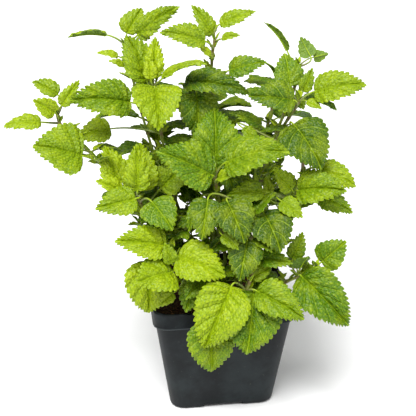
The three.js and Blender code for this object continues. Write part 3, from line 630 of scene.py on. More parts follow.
def distances_between(one, other):
    """All distances from the points of one row to those of the other."""
    return np.linalg.norm(one[..., :, None, :] - other[..., None, :, :], axis=-1)


class Clearance:
    """What a new leaf has to stay clear of: all stems and the leaves already placed."""

    def __init__(self, stems):
        longest = max(len(stem.points) for stem in stems.values())
        self.names = np.array(list(stems))
        self.stems = np.full((len(stems), longest, 3), np.inf)
        for row, stem in enumerate(stems.values()):
            self.stems[row, :len(stem.points)] = stem.points
        self.placed = []

    def add(self, one):
        """Keeps a placed leaf, and the stacked fields of all of them."""
        self.placed.append(one)
        self.blades = stack([other.leaf for other in self.placed])
        for key in ("samples", "petiole", "centre", "shoot"):
            setattr(self, key, np.array([getattr(other, key) for other in self.placed]))

    def is_clear(self, one):
        """Whether a leaf with its petiole is clear of all of them."""
        leaf = one.leaf
        petiole = one.petiole
        blade = stack([leaf])
        close = np.linalg.norm(self.stems - one.centre, axis=-1) < leaf.length + STEM_REACH
        others = self.names != one.shoot
        beyond = np.linalg.norm(self.stems - petiole[0], axis=-1) > OWN_NODE
        close &= others[:, None] | beyond
        if meets(blade, np.where(close[..., None], self.stems, FAR_AWAY), STEM_GAP).any():
            return False
        gaps = distances_between(self.stems, petiole[None]).min(axis=-1)
        if (np.where(close, gaps, np.inf).min(axis=1)[others] < CROSS_GAP).any():
            return False
        if not self.placed:
            return True
        reach = (self.blades.length + leaf.length) * LEAF_REACH + LEAF_SPARE
        by = np.linalg.norm(self.centre - one.centre, axis=1) <= reach
        if not by.any():
            return True
        blades = picked(self.blades, by)
        petioles = self.petiole[by]
        tests = (
            (blade, self.samples[by], BLADE_GAP), (blades, one.samples[None], BLADE_GAP),
            (blade, petioles[:, 1:], PETIOLE_GAP), (blades, petiole[None, 1:], PETIOLE_GAP),
        )
        if any(meets(*test).any() for test in tests):
            return False
        gaps = distances_between(petioles, petiole[None]).min(axis=(1, 2))
        return not (gaps[self.shoot[by] != one.shoot] < PETIOLE_GAP).any()

    def settle(self, make, shoot, node, tint, listed):
        """Places a leaf in the first of the attitudes that is clear. With none, it is left out."""
        for attitude in ATTITUDES:
            leaf = make(*attitude)
            one = SimpleNamespace(
                leaf=leaf, node=node, petiole=petiole_path(leaf, node, PETIOLE_POINTS),
                samples=samples(leaf), shoot=shoot, tint=tint, listed=listed,
                centre=surface(leaf, np.array([BLADE_CENTRE]), np.zeros(1), np.zeros(1))[0])
            if self.is_clear(one):
                self.add(one)
                return


def grow_leaves(stems):
    """All leaves of the plant: first those listed for each shoot, then the pairs that fill it."""
    clearance = Clearance(stems)
    seed = 1
    for name, plan in SHOOTS.items():
        for *place, heading, rise, length, lean, width, tint in plan.leaves:
            seed += SEED_STEP
            base = np.array(place, float)
            tilt = math.radians(lean)
            hint = np.array([0, -math.sin(tilt), math.cos(tilt)])
            nodes = stems[name].nodes
            below = base - [0, 0, PETIOLE_DROP]
            node = nodes[np.argmin(np.linalg.norm(nodes - below, axis=1))]

            def listed(scale, swing, lift):
                return make_leaf(base, heading + swing, rise + lift, length * scale, width, hint, seed)

            clearance.settle(listed, name, node, tint, True)
    for name, plan in SHOOTS.items():
        carrying, first_heading, greatest, tint = plan.pairs
        for k in carrying:
            if k >= len(stems[name].nodes):
                continue
            node = stems[name].nodes[k]
            for side in (0, 1):
                seed += SEED_STEP
                draw = draws(seed)
                heading = first_heading + 90 * k + 180 * side + draw(PAIR_SWING)
                length = min(greatest, PAIR_LENGTH[0] + PAIR_LENGTH[1] * k) * draw(PAIR_SCALE)
                young = PAIR_RISE[0] + PAIR_RISE[1] * k
                rise = (young if k < OLD_PAIR else OLD_PAIR_RISE) + draw(PAIR_RISE_RANGE)
                width = draw(PAIR_WIDTH)

                def paired(scale, swing, lift):
                    away = heading + swing
                    lean = math.radians(PAIR_LEAN)
                    hint = np.array([0, 0, math.cos(lean)]) + direction(away, 0) * math.sin(lean)
                    arm = direction(away, rise + lift + PAIR_PETIOLE_RISE)
                    base = node + arm * (PAIR_PETIOLE[0] + PAIR_PETIOLE[1] * length)
                    return make_leaf(base, away, rise + lift, length * scale, width, hint, seed)

                clearance.settle(paired, name, node, tint, False)
    return clearance.placed


# Meshes


def hashed(i, j, k):
    """A number from 0 to 1 for each whole i, j and k, as the fraction of a large multiple of a sine."""
    return np.modf(np.abs(np.sin(i * 127.1 + j * 311.7 + k * 74.7)) * 43758.5453)[0]


def cells(u, v, seed, jitter):
    """0 on the walls between cells, rising to 1 inside: an S-curve of the second nearest point's
    distance less the nearest's, for points one a unit square, jittered."""
    found = []
    for du in (-1, 0, 1):
        for dv in (-1, 0, 1):
            i = np.floor(u) + du
            j = np.floor(v) + dv
            point_u = i + 0.5 + jitter * (hashed(i, j, seed) - 0.5)
            point_v = j + 0.5 + jitter * (hashed(j, i, seed + 1) - 0.5)
            found.append(np.hypot(u - point_u, v - point_v))
    found = np.sort(np.array(found), axis=0)
    return smooth(0, CELL_EDGE, found[1] - found[0])


def smooth(low, high, value):
    """0 below low, 1 above high and an S-curve between."""
    share = np.clip((value - low) / (high - low), 0, 1)
    return share * share * (3 - 2 * share)


def tube_faces(rows, sides):
    """Faces of a closed tube of rows of vertices: four-sided ones between the rows, and a fan over
    each end round one vertex more, first the start's and then the end's."""
    ring = np.arange(sides)
    following = (ring + 1) % sides
    first = np.arange(rows - 1)[:, None] * sides
    quads = beside(first + ring, first + following, first + following + sides, first + ring + sides)
    last = (rows - 1) * sides
    start = beside(following, ring, rows * sides)
    end = beside(last + ring, last + following, rows * sides + 1)
    return [quads.reshape(-1, 4), start, end]


def drawn_in(points):
    """Points drawn in smoothly where they come near the frame's box: a distance to a face that is
    under 1 mm, or past the face, becomes 1 mm times e to the power of that distance less 1."""
    low, high = [np.array(corner) / MM for corner in CAD_BOX]
    near = points - low
    points = low + np.where(near < 1, np.exp(np.minimum(near, 1) - 1), near)
    far = high - points
    return high - np.where(far < 1, np.exp(np.minimum(far, 1) - 1), far)


class Mesh:
    """Vertices, faces and attributes gathered from patches into one object at the origin."""

    def __init__(self):
        self.vertices = []
        self.faces = []
        self.attributes = {}
        self.count = 0

    def add(self, vertices, faces, **attributes):
        """A patch: its vertices, lists of faces of any number of sides, and a vector or number of each
        named attribute for each vertex, or one for all."""
        size = len(vertices)
        self.vertices.append(vertices)
        self.faces += [np.asarray(block) + self.count for block in faces]
        for name, value in attributes.items():
            self.attributes.setdefault(name, []).append(np.broadcast_to(value, (size, 3)))
        self.count += size

    def piece(self, name, material, sharp=50):
        """The object, smooth but for edges sharper than the angle, in metres."""
        mesh = bpy.data.meshes.new(name)
        vertices = np.concatenate(self.vertices).astype(np.float32) * MM
        corners = np.concatenate([block.reshape(-1) for block in self.faces]).astype(np.int32)
        sizes = np.concatenate([np.full(len(block), block.shape[1]) for block in self.faces])
        starts = np.concatenate([[0], np.cumsum(sizes)[:-1]]).astype(np.int32)
        mesh.vertices.add(len(vertices))
        mesh.vertices.foreach_set("co", vertices.reshape(-1))
        mesh.loops.add(len(corners))
        mesh.loops.foreach_set("vertex_index", corners)
        mesh.polygons.add(len(sizes))
        mesh.polygons.foreach_set("loop_start", starts)
        for attribute, values in self.attributes.items():
            layer = mesh.attributes.new(attribute, "FLOAT_VECTOR", "POINT")
            layer.data.foreach_set("vector", np.concatenate(values).astype(np.float32).reshape(-1))
        mesh.update(calc_edges=True)
        mesh.validate()
        return finished(name, mesh, material, sharp)


def finished(name, mesh, material, sharp):
    """The object of a mesh, smooth but for edges sharper than the angle, with its one material."""
    mesh.polygons.foreach_set("use_smooth", np.ones(len(mesh.polygons), dtype=bool))
    mesh.set_sharp_from_angle(angle=math.radians(sharp))
    mesh.materials.clear()
    mesh.materials.append(material)
    return linked(name, mesh)


def linked(name, data):
    """A new object of a mesh, light or camera, in the scene."""
    thing = bpy.data.objects.new(name, data)
    bpy.context.collection.objects.link(thing)
    return thing


# Leaves


def closed_skin(top, bottom):
    """Faces of a thin closed solid over two grids of as many rows, whose first and last rows are each
    one point. The two are joined round the margin."""
    faces = []
    for grid, flip in ((top, False), (bottom, True)):
        inner = grid[1:-1]
        quads = beside(inner[:-1, :-1], inner[1:, :-1], inner[1:, 1:], inner[:-1, 1:])
        start = beside(grid[0, 0], inner[0, :-1], inner[0, 1:])
        end = beside(inner[-1, :-1], grid[-1, 0], inner[-1, 1:])
        blocks = (quads.reshape(-1, 4), np.concatenate([start, end]))
        faces += [block[:, ::-1] if flip else block for block in blocks]
    for column, flip in ((0, False), (-1, True)):
        upper, lower = (np.concatenate([[grid[0, 0]], grid[1:-1, column], [grid[-1, 0]]])
                        for grid in (top, bottom))
        rim = beside(upper[:-1], lower[:-1], lower[1:], upper[1:])
        faces.append(rim[:, ::-1] if flip else rim)
    return faces


def blade_grid(leaf, teeth, fine):
    """Where each point of a blade's rows and columns lies: t, q, x and y. The margin is drawn in
    between teeth that lean to the tip, by less where the blade is narrow. A fine blade has more
    columns."""
    grown = leaf.length > SMALL_LEAF
    half_width = leaf.half_width
    step = 2 * UNDER_STEP[grown]
    columns = step * max(1, round(2 * half_width * leaf.length * COLUMNS_PER_MM[fine] / step)) + 1
    rows = teeth * TOOTH_ROWS[grown] + 1
    t, q = np.meshgrid(shares(rows), np.linspace(-1, 1, columns), indexing="ij")
    lobe = np.abs(np.sin(np.pi * np.mod(t * teeth, 1) ** TOOTH_WARP)) ** 0.5
    margin = outline(np.pi * t ** MARGIN_POWER, half_width)[1] * leaf.length
    deep = TOOTH_DEEP * min(1, leaf.length / GROWN_LENGTH)
    pull = np.minimum(TOOTH_MOST, deep / np.maximum(margin, 0.1)) * (1 - lobe) * np.abs(q) ** TOOTH_POWER
    drawn = q * (1 - pull)
    return t, q, drawn, *blade_point(t, drawn, half_width)


def leaf_size(leaf):
    """Size of a leaf's relief beside that of a leaf of the relief's length."""
    return min(RELIEF_MOST, leaf.length / RELIEF_LENGTH)


def crumple(leaf):
    """How strongly a leaf is puckered, by its seed."""
    return CRUMPLE[0] + (CRUMPLE[1] - CRUMPLE[0]) * (leaf.seed % 89) / 88


def faded(t, start, end):
    """1 along the blade, falling to 0 at the petiole over start and at the tip over end."""
    return smooth(0, start, t) * smooth(0, end, 1 - t)


def blade_relief(leaf, teeth, t, q, y):
    """Height of the puckered blade over its smooth form, without and with its net of small pillows,
    then the net from 0, on a vein, to 1, and the vein coordinate, whole on each side vein. Broad
    pillows stand between the side veins and flare at the margin, small ones stand between the cross
    veins, and each half is a little crowned. All fade out at the margin, where the teeth ruffle."""
    length = leaf.length
    size = leaf_size(leaf)
    puff = size * crumple(leaf)
    pairs = max(FEWEST_PAIRS, round(length * VEIN_PAIRS_PER_MM))
    away = np.abs(q)
    slant = VEIN_SLANT * (1 - away) ** SLANT_POWER * smooth(1, 0.7, t) * smooth(0, 0.3, t)
    vein = (t + slant) * pairs + VEIN_WAVER * np.sin(5 * away + leaf.phase)
    side = np.abs(np.sin(np.pi * vein)) ** PILLOW_POWER
    midrib = 1 - np.exp(-(np.abs(y) * length / (size + MIDRIB_SPREAD)) ** 2)
    rings = leaf.half_width * length / NET_CELL
    inside = cells(NET_PER_VEIN * vein, away * rings, leaf.seed % 97 + 3 * np.sign(q), NET_JITTER)
    fade = (1 - away ** EDGE_POWER) * faded(t, *END_FADE)
    ends = faded(t, *CROWN_FADE)
    height = (
        PILLOW * puff * (side * midrib - RIB_SINK) * fade
        + CAMBER * size * 4 * away * (1 - away) * ends
        + FLARE * puff * away ** 3 * np.sin(2 * np.pi * vein + 2 * q) * ends
        + TOOTH_RUFFLE * size * away ** TOOTH_POWER * np.sin(2 * np.pi * t * teeth) * smooth(0, 0.1, 1 - t)
    )
    netted = height + NET_PILLOW * size * inside * midrib * fade
    return height, netted, inside * (NET_IN_CREASE + (1 - NET_IN_CREASE) * side), vein


def add_blade(mesh, leaf, tint, youth, fine=False):
    """One blade as a thin closed skin: its smooth form, moved along its normal by the relief, with
    half the thickness to each side, thinner at the margin. The underside has fewer columns, and
    leaves out the net of small pillows."""
    length = leaf.length
    teeth = max(FEWEST_TEETH, round(length * TEETH_PER_MM))
    t, q, drawn, x, y = blade_grid(leaf, teeth, fine)
    places = surface(leaf, x, y, np.abs(drawn))
    normal = unit(np.cross(np.gradient(places, axis=0), np.gradient(places, axis=1)))
    normal[0] = leaf.face
    normal[-1] = normal[-2, normal.shape[1] // 2]
    normal *= np.sign((normal * leaf.face).sum(-1, keepdims=True) + TINY)
    plain, relief, net, vein = blade_relief(leaf, teeth, t, q, y)
    thick = BLADE_THICKNESS / 2 * (1 - EDGE_THINNING * np.abs(q) ** EDGE_POWER)
    top = places + normal * (relief + thick)[..., None]
    bottom = places + normal * (plain - thick)[..., None]
    offset = (leaf.seed % PATTERN_PLACES) * PATTERN_STEP
    place = beside(x * length + offset, y * length + offset, np.abs(y * length))
    # The net in the marks sets the leaf material's painted shade in the creases and painted highlight on the
    # pillows' crowns.
    marks = beside(vein, np.abs(q), net)
    tone = [np.broadcast_to([tint, youth, under], top.shape) for under in (0, 1)]
    upper = np.arange(t.size).reshape(t.shape)
    upper[0] = upper[0, 0]
    upper[-1] = upper[-1, 0]
    faces = closed_skin(upper, (upper + t.size)[:, ::UNDER_STEP[length > SMALL_LEAF]])
    used = np.unique(np.concatenate([block.reshape(-1) for block in faces]))
    renumber = np.zeros(2 * t.size, dtype=int)
    renumber[used] = np.arange(len(used))
    vertices, place, marks, tone = (np.stack(pair).reshape(-1, 3)[used] for pair in (
        (top, bottom), (place, place), (marks, marks), tone))
    mesh.add(vertices, [renumber[block] for block in faces], place=place, marks=marks, tone=tone)


def add_tube(mesh, path, radii, side, sides, section=None, **attributes):
    """A closed tube along a path: at each point a ring of that radius, times the section's factor
    at each angle, with a fan over each end. Angles run from across, which is kept near to a side and
    square to the path, to up."""
    ahead = unit(np.gradient(path, axis=0))
    across = unit(side - ahead * (ahead @ side)[:, None])
    up = np.cross(ahead, across)
    angles = np.arange(sides) * 2 * np.pi / sides
    reach = radii[:, None] * (np.ones(sides) if section is None else section(angles))
    rings = path[:, None] + reach[..., None] * (
        np.cos(angles)[:, None] * across[:, None] + np.sin(angles)[:, None] * up[:, None])
    vertices = np.concatenate([rings.reshape(-1, 3), path[:1], path[-1:]])
    spread = {}
    for name, value in attributes.items():
        value = np.asarray(value, float)
        if value.ndim == 2:
            value = np.concatenate([np.repeat(value, sides, axis=0), value[:1], value[-1:]])
        spread[name] = value
    mesh.add(vertices, tube_faces(len(path), sides), **spread)


def add_stalk(mesh, path, radii, side, sides, tone, section=None):
    """A tube with the attributes that the stalks' material reads."""
    add_tube(mesh, path, radii, side, sides, section, place=path, tone=tone, marks=np.zeros(3))


def add_petiole(mesh, leaf, node, brown):
    """The petiole from the stem to the blade, running on under the blade as its raised midrib, ever
    thinner: the midrib's sunken line, lowered by half the blade and most of the rib's radius. Its
    colour goes from the stem's to the blade's."""
    grown = leaf.length >= SMALL_LEAF
    rows, ribs, sides = (pair[grown] for pair in (PETIOLE_ROWS, RIB_ROWS, PETIOLE_SIDES))
    stalk = petiole_path(leaf, node, rows)
    share = shares(len(stalk))
    slim = SLIMMEST + (1 - SLIMMEST) * min(1, leaf.length / STOUT_LENGTH)
    x = np.linspace(*RIB_SPAN, ribs)
    rib_radii = PETIOLE_RADIUS * slim * (RIB_TAPER[0] - RIB_TAPER[1] * x)
    sunk = RIB_SINK * PILLOW * leaf_size(leaf) * crumple(leaf) * faded(x ** (1 / MIDRIB_POWER), *END_FADE)
    rib = surface(leaf, x, np.zeros(ribs), np.zeros(ribs))
    rib = rib - leaf.face * (sunk + BLADE_THICKNESS / 2 + RIB_DEPTH * rib_radii)[:, None]
    path = np.concatenate([stalk, rib])
    foot, taper, flare = STALK_TAPER
    stalk_radii = PETIOLE_RADIUS * slim * (foot - taper * share + flare * np.exp(-12 * share))
    radii = np.concatenate([stalk_radii, rib_radii])
    green = np.concatenate([share, np.ones(ribs)])
    tone = beside(green, brown * (1 - green) ** 1.5, 0)
    add_stalk(mesh, path, radii, leaf.across, sides, tone)
    if grown:
        add_hairs(mesh, stalk, radii[:len(stalk)], leaf.seed + 3)


def square_section(angles):
    """Reach of a square with its corners cut round: a side's reach over the cosine of nearly all of
    the turn from its middle, and no more than the corners'."""
    turn = np.mod(angles + np.pi / 4, np.pi / 2) - np.pi / 4
    return np.minimum(STEM_FLAT / np.cos(np.abs(turn) * STEM_HOLLOW), STEM_EDGE)


def add_hairs(mesh, path, radii, seed):
    """Fine hairs on a stalk: thin closed spikes, each a triangle below the skin and a tip, standing
    out from the stalk at random places along and round it and leaning to its tip."""
    rng = np.random.default_rng(seed)
    reached = lengths_along(path)
    count = int(reached[-1] * HAIRS_PER_MM)
    if count == 0:
        return
    place = rng.uniform(*HAIR_SPAN, count) * reached[-1]
    root = beside(*(np.interp(place, reached, line) for line in path.T))
    radius = np.interp(place, reached, radii)
    ahead = unit(beside(*(np.interp(place, reached, np.gradient(line, reached)) for line in path.T)))
    out = rng.normal(size=(count, 3))
    out = unit(out - ahead * np.sum(out * ahead, axis=1, keepdims=True))
    lean = out + ahead * rng.uniform(*HAIR_LEAN, (count, 1))
    root = root + out * (HAIR_ROOT * radius)[:, None]
    tip = root + lean * (HAIR_SKIN * radius + rng.uniform(*HAIR_LENGTH, count))[:, None]
    cross = np.cross(ahead, out)
    ring = [root + HAIR_RADIUS * (math.cos(turn) * cross + math.sin(turn) * ahead)
            for turn in (0, 2 * math.pi / 3, 4 * math.pi / 3)]
    vertices = np.stack([*ring, tip], axis=1).reshape(-1, 3)
    faces = repeated([[0, 1, 3], [1, 2, 3], [2, 0, 3], [2, 1, 0]], 4, count)
    mesh.add(vertices, [faces], place=vertices, tone=HAIR_TONE, marks=np.zeros(3))


def repeated(faces, vertices, count):
    """Faces of one small shape, repeated for a count of them with so many vertices each."""
    return (np.array(faces)[None] + vertices * np.arange(count)[:, None, None]).reshape(-1, 3)


def add_stem(mesh, stem):
    """The square stem, swelling at its nodes and browner there and towards its tip."""
    curve = stem.curve
    rows = max(12, round(curve.length / STEM_STEP))
    share = shares(rows + 1)
    path = curve.along(share)
    from_tip = (1 - share) * curve.length
    gaps = np.abs(from_tip[:, None] - stem.distances[None])
    knot = np.exp(-(gaps / NODE_SWELL_LENGTH) ** 2).max(axis=1)
    radii = (STEM_FOOT + (STEM_TIP - STEM_FOOT) * share) * (1 + NODE_SWELL * knot)
    radii[-1] *= STEM_END
    plain, knotted, young = STEM_BROWN_SHARES
    brown = np.clip(plain + knotted * knot + young * smooth(BROWN_TIP, 0, from_tip), 0, 1)
    tone = beside(STEM_YELLOWING[0] + STEM_YELLOWING[1] * share, brown, 0)
    add_stalk(mesh, path, radii, np.array([1.0, 0, 0]), STEM_SIDES, tone, square_section)
    shown = path[:, 2] > SOIL_LEVEL + 2 * SOIL_CROWN
    add_hairs(mesh, path[shown], radii[shown], 31 + rows)


def add_small_leaf(blades, stalks, node, heading, base, rise, length, seed, tint, youth, brown):
    """A small leaf of a bud or a side shoot, with its petiole."""
    hint = np.array([0, 0, 1.0]) - 0.5 * direction(heading, 0)
    leaf = make_leaf(base, heading, rise, length, SPROUT_WIDTH, hint, seed)
    add_blade(blades, leaf, tint, youth)
    add_petiole(stalks, leaf, node, brown)


def add_sprouts(blades, stalks, stem, seed):
    """Pairs of very small leaves in the axils, upright at the youngest nodes and lower at the others."""
    draw = draws(seed)
    for k, node in enumerate(stem.nodes):
        older = k >= YOUNGEST_NODES
        turn = draw((0, 90))
        for side in (0, 1):
            heading = turn + 90 * k + 180 * side + draw(SPROUT_SWING)
            length = draw(SPROUT_LENGTH[older])
            rise = draw(SPROUT_RISE[older])
            base = node + direction(heading, rise) * draw(SPROUT_REACH)
            add_small_leaf(blades, stalks, node, heading, base, rise, length, seed + 31 * k + side,
                           draw(SPROUT_TINT), 1.0, 0.3)


def add_side_shoots(blades, stalks, stem, seed):
    """Short side shoots in the axils of the older nodes low at the back, each a small stem with a
    pair of leaves at its tip and a smaller pair across it."""
    draw = draws(seed)
    front, top = SIDE_SHOOT_PLACE
    nodes = [node for node in stem.nodes[3:] if node[1] > front and node[2] < top]
    for k, node in enumerate(nodes):
        outward = math.degrees(math.atan2(node[1], node[0]))
        for side in (-1, 1) if node[1] > SIDE_SHOOT_TWOS else (1 - 2 * (k % 2),):
            heading = outward + side * draw(SIDE_SHOOT_SWING)
            reach = draw(SIDE_SHOOT_LENGTH)
            tip = node + direction(heading, draw(SIDE_SHOOT_RISE)) * reach
            share = shares(SIDE_SHOOT_POINTS)[:, None]
            sag = SIDE_SHOOT_SAG * reach * np.sin(np.pi * share) * np.array([0, 0, -1.0])
            path = node + (tip - node) * share + sag
            radii = np.linspace(*SIDE_SHOOT_RADII, SIDE_SHOOT_POINTS)
            add_stalk(stalks, path, radii, np.array([0.1, 0, 1.0]), 6, SIDE_SHOOT_TONE)
            turn = draw(SIDE_LEAF_TURN)
            for pair, (scale, rise, less) in enumerate(SIDE_PAIRS):
                for hand in (-1, 1):
                    away = heading + hand * (turn - less)
                    length = draw(SIDE_LEAF_LENGTH) * scale
                    base = tip + direction(away, rise) * draw(SIDE_LEAF_REACH)
                    add_small_leaf(blades, stalks, tip, away, base, rise + draw(SIDE_LEAF_SWING), length,
                                   seed + 31 * k + 7 * pair + hand, draw(SIDE_LEAF_TINT), 0.7, 0.2)


# Materials


class Look:
    """A material: its node tree, its shader and places on the object, with short ways to add nodes.
    Any input takes a value or another node's output."""

    def __init__(self, name):
        self.material = bpy.data.materials.new(name)
        self.material.use_nodes = True
        self.tree = self.material.node_tree
        self.shader = self.tree.nodes["Principled BSDF"]
        self.coords = self.node("TexCoord").outputs["Object"]

    def put(self, made, inputs):
        """Sets or links inputs, named by number or by label with underscores for spaces."""
        for name, value in inputs.items():
            socket = made.inputs[name if isinstance(name, int) else name.replace("_", " ")]
            if isinstance(value, bpy.types.NodeSocket):
                self.tree.links.new(value, socket)
            else:
                socket.default_value = value

    def node(self, kind, settings=None, numbered=None, **inputs):
        """A shader node with its settings and inputs."""
        made = self.tree.nodes.new("ShaderNode" + kind)
        for name, value in (settings or {}).items():
            setattr(made, name, value)
        self.put(made, {**(numbered or {}), **inputs})
        return made

    def maths(self, operation, *numbers):
        """One operation on numbers."""
        return self.node("Math", {"operation": operation}, dict(enumerate(numbers))).outputs[0]

    def layered(self, colour, *layers):
        """A colour under layers, each mixed in by its share."""
        for share, layer in layers:
            parts = {0: share, 6: colour, 7: layer}
            colour = self.node("Mix", {"data_type": "RGBA"}, parts).outputs[2]
        return colour

    def band(self, value, low, high, most=1.0):
        """0 to most as value goes from low to high, smoothly; low may be above high."""
        return self.node("MapRange", {"interpolation_type": "SMOOTHSTEP"}, Value=value, From_Min=low,
                         From_Max=high, To_Max=most).outputs[0]

    def noise(self, scale, detail, vector=None, **inputs):
        """Noise on the object's own places, or on a vector."""
        place = self.coords if vector is None else vector
        return self.node("TexNoise", Vector=place, Scale=scale, Detail=detail, **inputs).outputs[0]

    def cells(self, feature, vector, **inputs):
        """Cells of a blade's net on a flat vector."""
        settings = {"feature": feature, "voronoi_dimensions": "2D"}
        return self.node("TexVoronoi", settings, Vector=vector, Scale=CELL_SCALE, Randomness=0.9,
                         **inputs).outputs[0]

    def split(self, attribute):
        """The three numbers and the vector of an attribute."""
        source = self.node("Attribute", {"attribute_type": "GEOMETRY", "attribute_name": attribute})
        parts = self.node("SeparateXYZ", Vector=source.outputs["Vector"])
        return (*parts.outputs[:3], source.outputs["Vector"])

    def bump(self, height, distance, strength):
        """A normal from a height, in metres."""
        return self.node("Bump", Height=height, Distance=distance, Strength=strength).outputs[0]

    def finish(self, **inputs):
        """Sets the shader's own inputs and gives the material."""
        self.put(self.shader, inputs)
        return self.material


def linear(red, green, blue):
    """A colour from 0 to 255 as light, with full cover."""
    values = [channel / 255 for channel in (red, green, blue)]
    return (*[v / 12.92 if v <= 0.04045 else ((v + 0.055) / 1.055) ** 2.4 for v in values], 1.0)


# Net cells of a blade per millimetre
CELL_SCALE = 0.62

# The deepest leaf green is also the blade's painted shade in its creases.
DEEP_GREEN_AND_CREASE_SHADE = linear(43, 75, 0)
MID_GREEN = linear(77, 119, 0)
LIME = linear(155, 180, 3)
# The young leaves' yellow is also the painted highlight on the pillows' crowns.
YOUNG_AND_CROWN_HIGHLIGHT = linear(185, 202, 22)
PALE_VEIN = linear(186, 213, 46)
UNDER_GREEN = linear(86, 124, 52)
GLOW = linear(136, 190, 6)
STEM_GREEN = linear(132, 160, 66)
STEM_BROWN = linear(104, 70, 58)
HAIR_PALE = linear(206, 214, 164)
CHARCOAL = linear(8, 13, 16)
DUST_GREY = linear(31, 38, 40)
SPECK_GREY = linear(64, 66, 62)
EDGE_LINE_GREY = linear(70, 76, 78)
DARK_COIR = linear(38, 24, 18)
COIR = linear(92, 58, 40)
PALE_COIR = linear(142, 96, 64)


def leaf_material():
    """The puckered blade: green by the leaf's tint, which is partly its own colour and partly painted light
    and shade, yellower when young, with a painted highlight of yellow on the crowns of the pillows and
    painted shade in the creases, with pale veins, patches of yellow, a soft gloss, and light coming through
    from behind."""
    look = Look("leaf_blade")
    tint, youth, under, _ = look.split("tone")
    vein, away, net, _ = look.split("marks")
    _, _, across, place = look.split("place")
    body = look.layered(
        DEEP_GREEN_AND_CREASE_SHADE, (look.band(tint, 0.0, 0.5), MID_GREEN), (look.band(tint, 0.45, 1.0), LIME),
        (look.maths("MULTIPLY", youth, 0.5), YOUNG_AND_CROWN_HIGHLIGHT), (look.band(look.noise(95, 3), 0.42, 0.7, 0.3), YOUNG_AND_CROWN_HIGHLIGHT))
    # Painted shade: the creases between the pillows, where the net falls to 0, are darkened towards deep
    # green.
    body = look.layered(body, (look.band(net, 0.5, 0.0, 0.55), look.layered(body, (0.7, DEEP_GREEN_AND_CREASE_SHADE))))
    # Painted highlight: the crowns of the pillows are lightened towards the young yellow, more on lime
    # leaves.
    painted_crown_highlight = look.band(net, 0.55, 1.0, look.maths("MULTIPLY_ADD", tint, 0.4, 0.1))
    fine_line = look.band(look.cells("DISTANCE_TO_EDGE", place), 0.1, 0.02, 0.2)
    side_line = look.band(look.maths("PINGPONG", vein, 0.5), 0.06, 0.02, look.band(away, 1.0, 0.75, 0.4))
    midrib = look.band(across, 0.6, 0.25, 0.5)
    lines = look.maths("MAXIMUM", look.maths("MAXIMUM", fine_line, side_line), midrib)
    body = look.layered(
        body, (painted_crown_highlight, YOUNG_AND_CROWN_HIGHLIGHT), (lines, PALE_VEIN), (look.band(away, 0.93, 1.0, 0.3), LIME),
        (look.maths("MULTIPLY", under, 0.6), UNDER_GREEN))
    rough = look.node("MapRange", Value=look.noise(900, 2), To_Min=0.33, To_Max=0.49).outputs[0]
    pucker = look.cells("SMOOTH_F1", place, Smoothness=0.3)
    grain = look.maths("MULTIPLY", look.noise(2200, 2), 0.25)
    normal = look.bump(look.maths("MULTIPLY_ADD", pucker, -1.0, grain), 0.0007, 0.7)
    look.finish(Base_Color=body, Roughness=rough, Specular_IOR_Level=0.32, Normal=normal)
    glow = look.layered(body, (0.5, GLOW))
    through = look.node("BsdfTranslucent", Color=glow, Normal=normal).outputs[0]
    both = look.node("MixShader", numbered={0: 0.2, 1: look.shader.outputs[0], 2: through})
    look.put(look.tree.nodes["Material Output"], {"Surface": both.outputs[0]})
    return look.material


def stalk_material():
    """Stem and petiole: green, brown-purple round the nodes, streaked along, with a dull gloss and
    pale hairs."""
    look = Look("leaf_stalk")
    green, brown, hair, _ = look.split("tone")
    stretched = look.node("Mapping", Vector=look.coords, Scale=(1.0, 1.0, 0.15)).outputs[0]
    streaks = look.noise(1500, 3, stretched)
    body = look.layered(
        STEM_GREEN, (look.band(green, 0.2, 1.0), LIME), (look.band(streaks, 0.4, 0.7, 0.4), DEEP_GREEN_AND_CREASE_SHADE),
        (look.maths("MULTIPLY", brown, 0.85), STEM_BROWN), (look.maths("MULTIPLY", hair, 0.8), HAIR_PALE))
    return look.finish(
        Base_Color=body, Roughness=0.5, Specular_IOR_Level=0.4, Subsurface_Weight=0.1,
        Subsurface_Radius=(0.001, 0.001, 0.0004), Normal=look.bump(streaks, 0.0002, 0.6))


def pot_material():
    """Black moulded plastic with the fine grain of the mould, dusty in patches, with a few pale specks
    and a lighter line along the band's lower edge."""
    look = Look("pot_plastic")
    dust = look.noise(28, 6, Roughness=0.62)
    height = look.node("SeparateXYZ", Vector=look.coords).outputs[2]
    above = look.maths("ABSOLUTE", look.maths("SUBTRACT", height, (POT_HEIGHT - BAND_HEIGHT) * MM))
    # A lighter grey line is drawn along the band's lower edge, by height.
    body = look.layered(
        CHARCOAL, (look.band(dust, 0.4, 0.66), DUST_GREY),
        (look.band(look.noise(420, 2), 0.66, 0.76, 0.3), SPECK_GREY),
        (look.band(above, 0.9 * MM, 0.4 * MM, 0.6), EDGE_LINE_GREY))
    return look.finish(
        Base_Color=body, Roughness=look.maths("MULTIPLY_ADD", dust, 0.22, 0.42),
        Specular_IOR_Level=0.2, Normal=look.bump(look.noise(1400, 3), 0.00012, 0.5))


def soil_material():
    """Moist coir and bark: dark red-brown, lighter on the crumbs and fibres by their own tone."""
    look = Look("potting_soil")
    clods = look.noise(420, 6, Roughness=0.7)
    body = look.layered(DARK_COIR, (look.band(clods, 0.35, 0.7), COIR), (look.split("tone")[0], PALE_COIR))
    return look.finish(
        Base_Color=body, Roughness=0.88, Specular_IOR_Level=0.25, Normal=look.bump(clods, 0.0012, 0.9))


# Pot and soil


